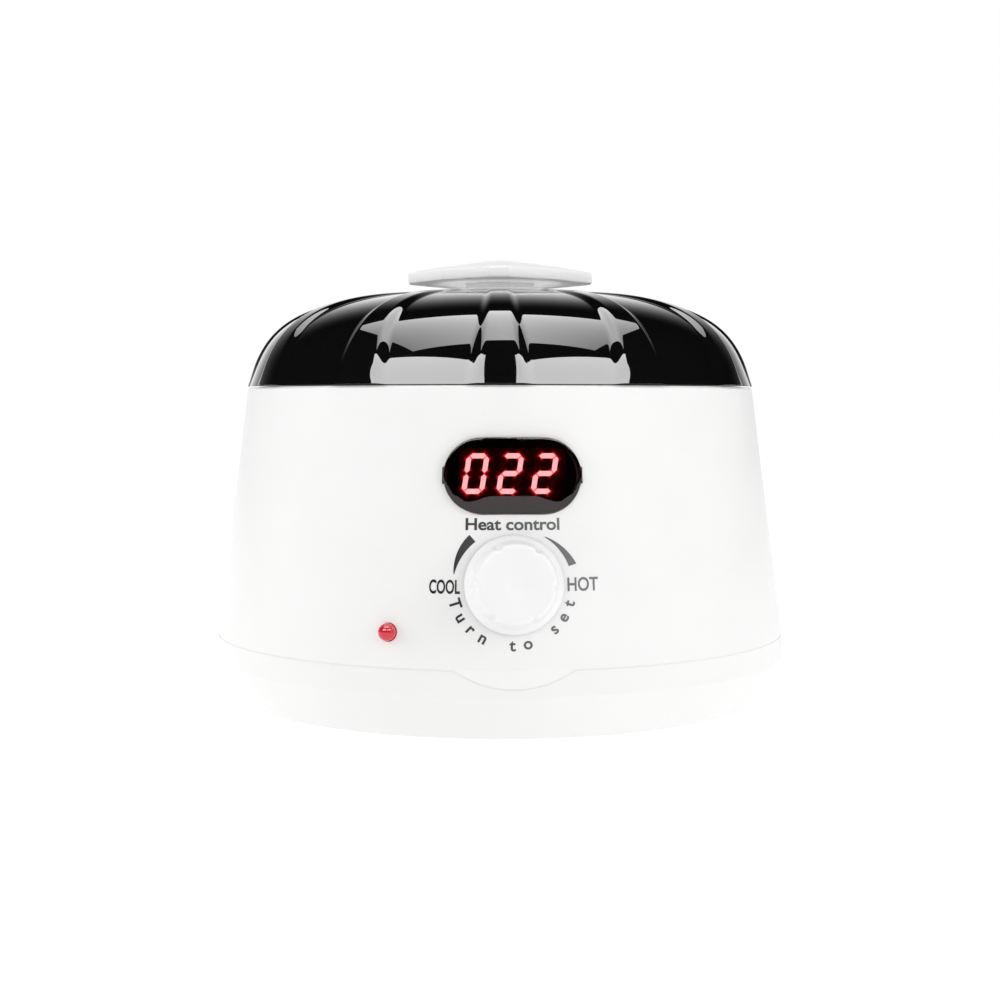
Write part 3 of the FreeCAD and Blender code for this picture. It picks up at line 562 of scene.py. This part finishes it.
# (radius, height over the wall) from the skirt's underside, up the side and in to the dimple's middle.
KNOB_OUTLINE_MM = ((8.4, 0.45), (13.5, 0.45), (13.85, 0.62), (13.9, 0.95), (13.7, 1.45), (13.2, 2.1),
                   (12.6, 2.8), (12.2, 3.6), (12.0, 4.8), (11.6, 8.0), (11.25, 11.5), (11.05, 13.2),
                   (10.85, 13.9), (10.4, 14.3), (9.7, 14.5), (8.0, 14.47), (5.0, 14.36), (3.6, 14.29),
                   (2.9, 14.2), (2.2, 14.1), (1.2, 14.02), (0.0, 14.0))
FLUTES = 6
FLUTE_DEPTH = 0.0007
FLUTE_RADIUS = 0.011
FLUTE_HALF_ANGLE = 8.0
FLUTE_START = -3.6
FLUTE_RUN_OUT = (0.0030, 0.0060)


def make_knob():
    outline = along([(radius * MM, 0, height * MM) for radius, height in KNOB_OUTLINE_MM], 110)
    columns = 360
    pitch = 360.0 / FLUTES
    vertices = []
    for point in outline:
        depth = FLUTE_DEPTH * smoothstep(*FLUTE_RUN_OUT, point.z) * min(1.0, point.x / FLUTE_RADIUS) ** 2
        for column in range(columns):
            angle = 360.0 * column / columns
            turn = math.radians(angle)
            offset = abs((angle - FLUTE_START + pitch / 2) % pitch - pitch / 2)
            radius = point.x - depth * (1 - smoothstep(0.0, FLUTE_HALF_ANGLE, offset))
            vertices.append((radius * math.cos(turn), radius * math.sin(turn), point.z))
    piece = new_piece("knob_shell", vertices, grid_faces(len(outline), columns, True))
    merge_close(piece)
    piece.data.transform(panel_matrix(KNOB_AXIS_POINT.z))
    return piece


# ---- Display ----

LENS_HALF_WIDTH = 0.0195
LENS_CENTRE_U = -0.0002
LENS_RADIUS = 0.0108
LENS_PROUD = 0.0018
LENS_EDGE = 0.0003
LENS_RIM_POWER = 60
LENS_TURN_SLOPE = 0.089
# (distance along from the middle, distance below the middle where the face has turned by that slope)
LENS_TURN_MM = ((0, 4.7), (5.5, 4.7), (12.5, 6.2), (16, 4.6), (19.5, 0.8))
LENS_THICKNESS = 0.0012
DIGIT_SCALE = 1.03
DIGIT_SHIFT = (-0.00018, 0.00047, 0)
GLOW_STEP = 0.00025
GLOW_HALF_WIDTH = 0.0152
GLOW_HALF_HEIGHT = 0.0083
GLOW_BEHIND = 0.00056
MASK_BEHIND = 0.00058
MASK_THICKNESS = 0.00001
TIGHT_SPILL = 0.00046
WIDE_SPILL = 0.0014


def lens_loop(distance, count=192):
    """Stadium loop around the centre line, starting at the lower left and running anticlockwise."""
    reach = LENS_HALF_WIDTH - LENS_RADIUS
    quarter = count // 4
    points = []
    for side in (1, -1):
        points += [(side * (2 * reach * i / quarter - reach), -side * distance) for i in range(quarter)]
        for i in range(quarter):
            turn = math.pi * i / quarter
            points.append((side * (reach + distance * math.sin(turn)), -side * distance * math.cos(turn)))
    return points


def lens_height(share, u, v):
    """Height of the window's face over the wall: a tight rim, flat above and rolling over below."""
    turn = smooth_lookup(abs(u) / MM, LENS_TURN_MM) * MM
    face = LENS_PROUD - LENS_TURN_SLOPE * min(0.0, v) ** 2 / (2 * turn)
    return LENS_EDGE + (face - LENS_EDGE) * math.sqrt(max(0.0, 1 - share ** LENS_RIM_POWER))


def make_lens():
    count = 192
    shares = [i / 32 * 0.93 for i in range(33)] + [0.94, 0.95, 0.96, 0.97, 0.98, 0.99, 0.996, 1.0]
    rings = [(share, 0.0) for share in shares]
    rings += [(1.0, LENS_THICKNESS), (0.97, LENS_THICKNESS)]
    rings += [(share * 0.93, LENS_THICKNESS) for share in reversed(shares[:33])]
    vertices = []
    for share, depth in rings:
        for u, v in lens_loop(share * LENS_RADIUS, count):
            vertices.append(on_wall(u + LENS_CENTRE_U, v, lens_height(share, u, v) - depth, DISPLAY_Z))
    piece = new_piece("window_shell", vertices, grid_faces(len(rings), count, True))
    merge_close(piece)
    crease(piece, 50.0)
    return piece


def make_bars(name, node):
    """Bars of the digits, taken from a node of the frame and set out as the window's curve shows them."""
    place = panel_matrix(DISPLAY_Z)
    spread = Matrix.Translation(DIGIT_SHIFT) @ Matrix.Diagonal((DIGIT_SCALE, DIGIT_SCALE, 1, 1))
    mesh = frame["nodes"][node].data.copy()
    mesh.transform(place @ spread @ place.inverted())
    piece = bpy.data.objects.new(name, mesh)
    bpy.context.scene.collection.objects.link(piece)
    return piece


def bar_points(bars):
    """Points of the bars in the panel's plane, and the height of their front."""
    place = panel_matrix(DISPLAY_Z).inverted()
    points = np.array([place @ v.co for v in bars.data.vertices])
    return points[:, :2], points[:, 2].max()


def make_mask(bars):
    """Black sheet behind the window that hides the gap round the display module."""
    near = bar_points(bars)[1] - MASK_BEHIND
    far = near - MASK_THICKNESS
    place = panel_matrix(DISPLAY_Z)
    columns = 96
    rings = [(0.0, near), (1.0, near), (1.0, far), (0.0, far)]
    vertices = [place @ Vector((u, v, height)) for share, height in rings
                for u, v in lens_loop(share * LENS_RADIUS, columns)]
    mask = new_piece("window_mask", vertices, grid_faces(len(rings), columns, True), False)
    merge_close(mask)
    return mask


def make_glow(bars):
    """Sheet in front of the black module that carries the light spilling round the lit bars."""
    outline, front = bar_points(bars)
    us = np.arange(-GLOW_HALF_WIDTH, GLOW_HALF_WIDTH + GLOW_STEP / 2, GLOW_STEP)
    vs = np.arange(-GLOW_HALF_HEIGHT, GLOW_HALF_HEIGHT + GLOW_STEP / 2, GLOW_STEP)
    place = panel_matrix(DISPLAY_Z)
    vertices = [place @ Vector((u, v, front - GLOW_BEHIND)) for v in vs for u in us]
    piece = new_piece("segment_glow", vertices, grid_faces(len(vs), len(us), False))
    grid = np.array([(u, v) for v in vs for u in us])
    nearest = np.full(len(grid), 1.0)
    for point in outline:
        nearest = np.minimum(nearest, np.hypot(grid[:, 0] - point[0], grid[:, 1] - point[1]))
    spill = 0.95 * np.exp(-(nearest / TIGHT_SPILL) ** 2) + 0.05 * np.exp(-nearest / WIDE_SPILL)
    layer = piece.data.color_attributes.new("spill", "FLOAT_COLOR", "POINT")
    for index, value in enumerate(spill):
        layer.data[index].color = (value, value, value, 1.0)
    return piece


def glow_material():
    m = Nodes("segment_spill")
    spill = m.add("ShaderNodeVertexColor")
    spill.layer_name = "spill"
    ramp = m.add("ShaderNodeValToRGB")
    ramp.color_ramp.elements[0].color = (0.0, 0.0, 0.0, 1.0)
    ramp.color_ramp.elements[1].color = (1.0, 0.02, 0.03, 1.0)
    m.link(spill, "Color", ramp, "Fac")
    m.link(ramp, "Color", m.shader, "Emission Color")
    m.set(Base_Color=(0.01, 0.002, 0.002, 1.0), Emission_Strength=4.0, Specular_IOR_Level=0.2)
    m.vary_roughness(0.4, 0.5, 300.0)
    return m.material


# ---- Printing on the panel ----

INK_PROUD = 0.00003
# A capital letter's height as a share of the font's size.
TEXT_TOP_SHARE = 0.73
# How far a letter on an arc drops, as a share of its height, to sit centred on the arc.
LETTER_DROP_SHARE = 0.38
CRESCENT_TIP_WIDTH = 0.0002


def text_mesh(characters, height, weight, squeeze=1.0):
    """Flat mesh of a word, centred on its own width, standing on v = 0."""
    curve = bpy.data.curves.new("ink", "FONT")
    curve.body = characters
    curve.size = height / TEXT_TOP_SHARE
    curve.offset = weight
    curve.align_x = "CENTER"
    curve.resolution_u = 6
    holder = bpy.data.objects.new("ink", curve)
    bpy.context.scene.collection.objects.link(holder)
    graph = bpy.context.evaluated_depsgraph_get()
    mesh = bpy.data.meshes.new_from_object(holder.evaluated_get(graph))
    bpy.data.objects.remove(holder)
    bpy.data.curves.remove(curve)
    mesh.transform(Matrix.Diagonal((squeeze, 1, 1, 1)))
    return mesh


def ink_on_wall(name, mesh, u, v, centre_z, turn=0.0):
    """Wraps a flat mesh on the wall with its origin at (u, v) from the panel place, turned in the panel."""
    spin = Matrix.Rotation(math.radians(turn), 3, "Z")
    for vertex in mesh.vertices:
        flat = spin @ vertex.co
        vertex.co = on_wall(u + flat.x, v + flat.y, INK_PROUD, centre_z)
    piece = bpy.data.objects.new(name, mesh)
    bpy.context.scene.collection.objects.link(piece)
    return piece


def join(name, pieces):
    b = bmesh.new()
    for piece in pieces:
        b.from_mesh(piece.data)
        bpy.data.objects.remove(piece)
    mesh = bpy.data.meshes.new(name)
    b.to_mesh(mesh)
    b.free()
    joined = bpy.data.objects.new(name, mesh)
    bpy.context.scene.collection.objects.link(joined)
    return joined


def arc_word(name, word, centre_u, radius, start, end, height, weight):
    """Letters on an arc under the knob, their tops towards it."""
    letters = []
    for index, character in enumerate(word):
        if character == " ":
            continue
        angle = start + (end - start) * index / (len(word) - 1)
        u = centre_u + radius * math.cos(math.radians(angle))
        v = radius * math.sin(math.radians(angle))
        mesh = text_mesh(character, height, weight)
        mesh.transform(Matrix.Translation((0, -height * LETTER_DROP_SHARE, 0)))
        letters.append(ink_on_wall(character, mesh, u, v, KNOB_AXIS_POINT.z, angle + 90.0))
    return join(name, letters)


def crescent(name, tip_angle, end_angle, tip_radius, end_inner, end_outer, fullness):
    """Tapered arc that widens from a thin tip to a square end; a fuller one widens sooner."""
    steps = 28
    vertices = []
    for step in range(steps + 1):
        share = step / steps
        angle = math.radians(tip_angle + (end_angle - tip_angle) * share)
        inner = tip_radius + (end_inner - tip_radius) * share
        tip_outer = tip_radius + CRESCENT_TIP_WIDTH
        outer = tip_outer + (end_outer - tip_outer) * (1 - (1 - share) ** fullness)
        for radius in (inner, outer):
            u, v = radius * math.cos(angle), radius * math.sin(angle)
            vertices.append(on_wall(u, v, INK_PROUD, KNOB_AXIS_POINT.z))
    faces = [(2 * i, 2 * i + 1, 2 * i + 3, 2 * i + 2) for i in range(steps)]
    return new_piece(name, vertices, faces)


def make_printing():
    """Generic dial marks: a heading, the scale's two ends, two growing arcs and words round the knob."""
    knob_z = KNOB_AXIS_POINT.z
    heading = text_mesh("Heat control", 0.0034, 0.00011, 1.08)
    cold = text_mesh("COOL", 0.0039, 0.00013, 0.58)
    hot = text_mesh("HOT", 0.0039, 0.00010, 0.80)
    marks = [ink_on_wall("print_heading", heading, -0.0003, -0.0152, DISPLAY_Z),
             ink_on_wall("print_low_end", cold, -0.0196, -0.0024, knob_z),
             ink_on_wall("print_high_end", hot, 0.0195, -0.0018, knob_z),
             arc_word("print_arc_word", "Turn to set", -0.0005, 0.0170, 198.5, 341.5, 0.0034, 0.00011),
             crescent("dial_mark_low", 170.0, 132.0, 0.0171, 0.0163, 0.0189, 1.8),
             crescent("dial_mark_high", 56.5, 18.0, 0.0160, 0.0165, 0.0188, 1.05)]
    ink = printed()
    for mark in marks:
        finish_piece(mark, "base", ink)


# ---- Seam and window lugs ----

SEAM_MIDDLE_Z = 0.0217
SEAM_HALF_HEIGHT = 0.0004
SEAM_BEHIND = 0.00012
SEAM_DEPTH = 0.0015
TONGUE_RADIUS = 0.02915
BAND_RADIUS = 0.0930


def make_seam():
    """Lip of the base that shows in the seam under the housing."""
    columns = 480
    face = BAND_RADIUS - SEAM_BEHIND
    low, high = SEAM_MIDDLE_Z - SEAM_HALF_HEIGHT, SEAM_MIDDLE_Z + SEAM_HALF_HEIGHT
    rows = [(face - SEAM_DEPTH, low), (face, low), (face, high), (face - SEAM_DEPTH, high)]
    rows.append(rows[0])
    vertices = [point for radius, z in rows for point in circle(radius, z, columns)]
    faces = [quad[::-1] for quad in grid_faces(len(rows), columns, True)]
    piece = new_piece("seam_lip", vertices, faces, False)
    merge_close(piece)
    return piece


def make_tongue_seam():
    """The same lip where it runs round the housing's tongue."""
    place = panel_matrix(KNOB_AXIS_POINT.z)
    outwards = place.to_3x3() @ Vector((0, 0, 1))
    drop = (KNOB_AXIS_POINT.z - SEAM_MIDDLE_Z) / math.cos(TILT_RAD)
    reach = math.acos(drop / TONGUE_RADIUS)
    steps = 96
    vertices = []
    for step in range(steps + 1):
        turn = reach * (2 * step / steps - 1)
        for across, depth in ((-SEAM_HALF_HEIGHT, SEAM_DEPTH), (-SEAM_HALF_HEIGHT, 0.0),
                              (SEAM_HALF_HEIGHT, 0.0), (SEAM_HALF_HEIGHT, SEAM_DEPTH)):
            radius = TONGUE_RADIUS + across
            point = place @ Vector((radius * math.sin(turn), -radius * math.cos(turn), 0))
            target = BAND_RADIUS - SEAM_BEHIND - depth
            short = target - math.hypot(point.x, point.y)
            vertices.append(point + outwards * short / math.hypot(outwards.x, outwards.y))
    faces = grid_faces(steps + 1, 4, True)
    faces += [(0, 1, 2, 3), tuple(4 * steps + i for i in (3, 2, 1, 0))]
    piece = new_piece("tongue_seam_lip", vertices, faces, False)
    merge_close(piece)
    return piece


def make_lugs():
    """Two small lugs that stand out of the window's round ends."""
    half_height, sunk, proud, outer = 0.0024, 0.0010, 0.0008, 0.0003
    lugs = []
    for side in (-1, 1):
        inside = LENS_CENTRE_U + side * (LENS_HALF_WIDTH - sunk)
        outside = LENS_CENTRE_U + side * (LENS_HALF_WIDTH + outer)
        vertices = [on_wall(u, v, height, DISPLAY_Z) for height in (-0.0005, proud)
                    for u, v in ((inside, -half_height), (outside, -half_height), (outside, half_height),
                                 (inside, half_height))]
        faces = grid_faces(2, 4, True) + [(3, 2, 1, 0), (4, 5, 6, 7)]
        lug = new_piece("window_lug", vertices, faces, False)
        merge_close(lug)
        bevel = lug.modifiers.new("edges", "BEVEL")
        bevel.width = 0.0002
        bevel.segments = 2
        apply_modifiers(lug)
        lugs.append(lug)
    return join("window_lugs", lugs)


# ---- Materials of the CAD nodes ----

def node_materials():
    """Material for each of the record's slots."""
    return {
        "housing_white": moulded("housing_white", (0.82, 0.82, 0.815)),
        "base_white": moulded("base_white", (0.80, 0.80, 0.795)),
        # The handle's white glows faintly: painted light.
        "handle_white": moulded("handle_white", (0.87, 0.87, 0.87), scatter=0.5, glow=0.05),
        "knob_white": moulded("knob_white", (0.81, 0.81, 0.81), (0.45, 0.55), 0.03),
        "gland_white": moulded("gland_nylon", (0.74, 0.74, 0.72), (0.42, 0.55), 0.2),
        "lid_black": smoky_black(),
        "lens_red": tinted_window(),
        "led_red": lamp_red(),
        "segment_lit": glowing("segment_lit", (1.0, 0.74, 0.68), 9.0),
        # The unlit bars glow faintly red: painted light, for bars that are not lit.
        "segment_dark": glowing("segment_dark", (1.0, 0.03, 0.04), 0.11, (0.012, 0.010, 0.011)),
        "module_black": moulded("module_black", (0.012, 0.010, 0.011), (0.45, 0.6)),
        "board_green": moulded("board_green", (0.02, 0.16, 0.06), (0.3, 0.4), 0.3, 0.1),
        "relay_blue": moulded("relay_blue", (0.03, 0.12, 0.42)),
        "capacitor_black": moulded("capacitor_sleeve", (0.02, 0.02, 0.03)),
        "terminal_grey": moulded("terminal_nylon", (0.45, 0.46, 0.45), (0.45, 0.6)),
        "thermostat_case": moulded("thermostat_case", (0.55, 0.5, 0.42), (0.5, 0.65), 0.3, 0.05),
        "foot_rubber": soft("foot_rubber", (0.03, 0.03, 0.031)),
        "seal_silicone": soft("seal_silicone", (0.42, 0.08, 0.045), (0.45, 0.6), 0.2),
        "screw_steel": metal("screw_steel", (0.58, 0.58, 0.59)),
        "bracket_steel": metal("bracket_steel", (0.62, 0.62, 0.61), (0.32, 0.48)),
        "shield_steel": metal("shield_steel", (0.66, 0.66, 0.67), (0.28, 0.42), (1, 1, 0.05)),
        "shaft_steel": metal("shaft_steel", (0.6, 0.6, 0.61)),
        "bail_steel": metal("bail_steel", (0.72, 0.72, 0.73), (0.10, 0.18), (1, 1, 1), 0.08),
        "plate_silver": metal("plate_silver", (0.7, 0.7, 0.71), (0.3, 0.4), (0.04, 1, 1)),
        "bowl_aluminium": metal("bowl_aluminium", (0.66, 0.66, 0.67), (0.26, 0.38), (1, 1, 0.03)),
        "pot_aluminium": metal("pot_aluminium", (0.72, 0.72, 0.73), (0.20, 0.30), (1, 1, 0.03)),
        "brass_parts": metal("brass_parts", (0.72, 0.52, 0.22)),
        "band_mica": moulded("band_mica", (0.42, 0.36, 0.25), (0.4, 0.6), 0.6, 0.2),
        "fuse_ceramic": moulded("fuse_ceramic", (0.74, 0.72, 0.66)),
        "lead_glassfibre": soft("lead_glassfibre", (0.72, 0.71, 0.65), (0.7, 0.85), 0.8),
        "lead_grey": soft("lead_grey", (0.3, 0.3, 0.3)),
        "lead_red": soft("lead_red", (0.45, 0.02, 0.02)),
        "lead_black": soft("lead_black", (0.02, 0.02, 0.02)),
        "lead_blue": soft("lead_blue", (0.04, 0.08, 0.35)),
    }


def dress_nodes(materials):
    """Gives every CAD node the material of its slot."""
    for subpart in frame["record"]["subparts"]:
        node = frame["nodes"][subpart["node"]]
        node.data.materials.clear()
        node.data.materials.append(materials[subpart["material_slot"]])


# ---- Studio ----

CAMERA_DISTANCE = 0.5356
CAMERA_HEIGHT = 0.0954
CAMERA_AZIMUTH = -2.5
CAMERA_PITCH = 3.363
CAMERA_LENS_MM = 57.81


def make_camera():
    data = bpy.data.cameras.new("camera")
    data.lens = CAMERA_LENS_MM
    data.sensor_width = 36.0
    data.clip_start = 0.01
    camera = bpy.data.objects.new("camera", data)
    angle = math.radians(CAMERA_AZIMUTH)
    camera.location = (CAMERA_DISTANCE * math.sin(angle), -CAMERA_DISTANCE * math.cos(angle), CAMERA_HEIGHT)
    camera.rotation_euler = (math.radians(90 - CAMERA_PITCH), 0, angle)
    bpy.context.scene.collection.objects.link(camera)
    bpy.context.scene.camera = camera


# The place on the lid's front that the softboxes' angles are given from.
LID_FRONT = Vector((0, -0.075, 0.115))
STRIP_FACING = 28
STRIP_AZIMUTHS = (8, 65)
STRIP_ELEVATIONS = (24, 46)
STRIP_RADIANCE = 7.6


def area_light(name, place, facing, width, height):
    """Plain rectangular light of radiance 1 that the camera doesn't see."""
    data = bpy.data.lights.new(name, "AREA")
    data.shape = "RECTANGLE"
    data.size = width
    data.size_y = height
    data.energy = math.pi * width * height
    data.use_nodes = True
    light = bpy.data.objects.new(name, data)
    light.location = place
    light.rotation_euler = Vector(facing).to_track_quat("-Z", "Y").to_euler()
    light.visible_camera = False
    bpy.context.scene.collection.objects.link(light)
    return light


def shade_softbox(light, radiance, edge_share, low_share):
    """Makes a light dimmer towards its sides and its lower edge."""
    tree = light.data.node_tree
    geometry = tree.nodes.new("ShaderNodeNewGeometry")
    split = tree.nodes.new("ShaderNodeSeparateXYZ")
    tree.links.new(geometry.outputs["Parametric"], split.inputs["Vector"])
    off_middle = tree.nodes.new("ShaderNodeMath")
    off_middle.operation = "PINGPONG"
    off_middle.inputs[1].default_value = 0.5
    tree.links.new(split.outputs["X"], off_middle.inputs[0])
    sides = tree.nodes.new("ShaderNodeMapRange")
    sides.inputs["From Max"].default_value = 0.5
    sides.inputs["To Min"].default_value = radiance * edge_share
    sides.inputs["To Max"].default_value = radiance
    tree.links.new(off_middle.outputs["Value"], sides.inputs["Value"])
    lower = tree.nodes.new("ShaderNodeMapRange")
    lower.inputs["To Min"].default_value = low_share
    tree.links.new(split.outputs["Y"], lower.inputs["Value"])
    product = tree.nodes.new("ShaderNodeMath")
    product.operation = "MULTIPLY"
    tree.links.new(sides.outputs["Result"], product.inputs[0])
    tree.links.new(lower.outputs["Result"], product.inputs[1])
    tree.links.new(product.outputs["Value"], tree.nodes["Emission"].inputs["Strength"])


def front_softbox(name, side, azimuths, elevations, radiance, distance=1.2):
    """Upright softbox for the glossy parts on one side, over azimuths and elevations seen from the lid."""
    azimuth = math.radians(side * STRIP_FACING + CAMERA_AZIMUTH)
    low, high = (math.tan(math.radians(e)) * distance for e in elevations)
    near, far = (math.tan(math.radians(a - STRIP_FACING)) * distance for a in azimuths)
    away = Vector((math.sin(azimuth), -math.cos(azimuth), 0))
    outwards = Vector((math.cos(azimuth), math.sin(azimuth), 0)) * side
    place = LID_FRONT + away * distance + outwards * (near + far) / 2 + Vector((0, 0, (low + high) / 2))
    light = area_light(name, place, -away, far - near, high - low)
    light.visible_diffuse = False
    shade_softbox(light, radiance, 0.95, 0.75)


def ceiling_softbox(name, sideways, front, back, radiance, height=1.0):
    """Level softbox for the glossy parts; its reach to each side is given per metre of its height."""
    middle = LID_FRONT + Vector((0, -(front - back) / 2 * height, height))
    light = area_light(name, middle, (0, 0, -1), 2 * sideways * height, (front + back) * height)
    light.visible_diffuse = False
    shade_softbox(light, radiance, 0.5, 1.0)


def fill_light(name, azimuth, elevation, size, radiance, distance=1.5):
    """Large soft light that shapes the matt parts and leaves no reflection."""
    turn, rise = math.radians(azimuth), math.radians(elevation)
    away = Vector((math.sin(turn) * math.cos(rise), -math.cos(turn) * math.cos(rise), math.sin(rise)))
    light = area_light(name, away * distance + Vector((0, 0, 0.06)), -away, size, size)
    light.visible_glossy = False
    light.data.node_tree.nodes["Emission"].inputs["Strength"].default_value = radiance


def make_lights():
    front_softbox("left_softbox", -1, STRIP_AZIMUTHS, STRIP_ELEVATIONS, STRIP_RADIANCE)
    front_softbox("right_softbox", 1, STRIP_AZIMUTHS, STRIP_ELEVATIONS, STRIP_RADIANCE)
    ceiling_softbox("ceiling_softbox", 0.76, 0.52, 0.44, 4.6)
    fill_light("left_fill", -88, 18, 1.0, 2.3)
    fill_light("right_fill", 52, 18, 1.0, 1.85)


WORLD_AMBIENT = 0.80


def make_world():
    """Even light for matt surfaces; glossy ones see white only straight behind the object."""
    world = bpy.data.worlds.new("studio")
    world.use_nodes = True
    tree = world.node_tree
    background = tree.nodes["Background"]
    coordinates = tree.nodes.new("ShaderNodeTexCoord")
    split = tree.nodes.new("ShaderNodeSeparateXYZ")
    spread = tree.nodes.new("ShaderNodeMapRange")
    spread.inputs["From Min"].default_value = 0.55
    spread.inputs["From Max"].default_value = 0.98
    curve = tree.nodes.new("ShaderNodeMath")
    curve.operation = "POWER"
    curve.inputs[1].default_value = 3.0
    rays = tree.nodes.new("ShaderNodeLightPath")
    choose = tree.nodes.new("ShaderNodeMapRange")
    choose.inputs["To Min"].default_value = WORLD_AMBIENT
    tree.links.new(coordinates.outputs["Generated"], split.inputs["Vector"])
    tree.links.new(split.outputs["Y"], spread.inputs["Value"])
    tree.links.new(spread.outputs["Result"], curve.inputs[0])
    tree.links.new(rays.outputs["Is Glossy Ray"], choose.inputs["Value"])
    tree.links.new(curve.outputs["Value"], choose.inputs["To Max"])
    tree.links.new(choose.outputs["Result"], background.inputs["Strength"])
    background.inputs["Color"].default_value = (1, 1, 1, 1)
    bpy.context.scene.world = world


STAGE_RADIUS = 4.0
STAGE_SIDES = 72
STAGE_WALL_OUTLINE = ((0.98 * STAGE_RADIUS, -0.2), (0.98 * STAGE_RADIUS, 3.0),
                      (0.6 * STAGE_RADIUS, 4.6), (0.001, 5.0))


def make_stage():
    """Pale glowing floor, and a white dome round it that only the camera sees."""
    floor_material = Nodes("stage_floor")
    floor_material.vary_colour((0.15, 0.15, 0.15), 0.01, 3.0)
    floor_material.set(Roughness=0.9, Specular_IOR_Level=0.0, Emission_Color=(1, 1, 1, 1),
                       Emission_Strength=1.0)
    floor = new_piece("stage_floor", circle(STAGE_RADIUS, 0, STAGE_SIDES), [tuple(range(STAGE_SIDES))], False)
    floor.data.materials.append(floor_material.material)
    wall_material = Nodes("stage_wall")
    wall_material.set(Base_Color=(0, 0, 0, 1), Emission_Color=(1, 1, 1, 1), Emission_Strength=1.0,
                      Specular_IOR_Level=0.0)
    vertices = [point for radius, z in STAGE_WALL_OUTLINE for point in circle(radius, z, STAGE_SIDES)]
    wall = new_piece("stage_wall", vertices, grid_faces(len(STAGE_WALL_OUTLINE), STAGE_SIDES, True), True)
    wall.data.materials.append(wall_material.material)
    wall.visible_glossy = False
    wall.visible_diffuse = False
    wall.visible_shadow = False
    wall.visible_transmission = False


# ---- Build ----

def main():
    make_camera()
    make_world()
    make_lights()
    make_stage()
    bpy.context.scene.view_settings.view_transform = "Standard"

    materials = node_materials()
    dress_nodes(materials)

    finish_piece(make_lid(), "lid", materials["lid_black"], ("lid_dome",))
    finish_piece(make_plate(), "lid", materials["handle_white"], ("lid_handle",))
    # The neck's white is a little darker than the plate's: painted shade under the plate.
    neck_white_painted_shade = moulded("handle_neck_painted_shade", (0.82, 0.82, 0.82), scatter=0.3)
    finish_piece(make_neck(), "lid", neck_white_painted_shade)
    # The flange's white is lighter than the plate's and glows: painted light in the shade under the plate.
    flange_white_painted_glow = moulded("handle_flange_painted_glow", (0.90, 0.90, 0.90), scatter=0.5, glow=0.24)
    finish_piece(make_flange(), "lid", flange_white_painted_glow)
    finish_piece(make_knob(), "knob", materials["knob_white"], ("control_knob",))
    finish_piece(make_lens(), "base", materials["lens_red"], ("display_lens",))
    finish_piece(make_lugs(), "base", materials["module_black"])
    finish_piece(make_seam(), "base", materials["base_white"])
    finish_piece(make_tongue_seam(), "base", materials["base_white"])
    lit = make_bars("digit_bars", "lit_segments")
    finish_piece(lit, "base", materials["segment_lit"], ("lit_segments",))
    unlit = make_bars("digit_bars_off", "unlit_segments")
    finish_piece(unlit, "base", materials["segment_dark"], ("unlit_segments",))
    finish_piece(make_glow(lit), "base", glow_material())
    finish_piece(make_mask(lit), "base", materials["module_black"])
    make_printing()


main()
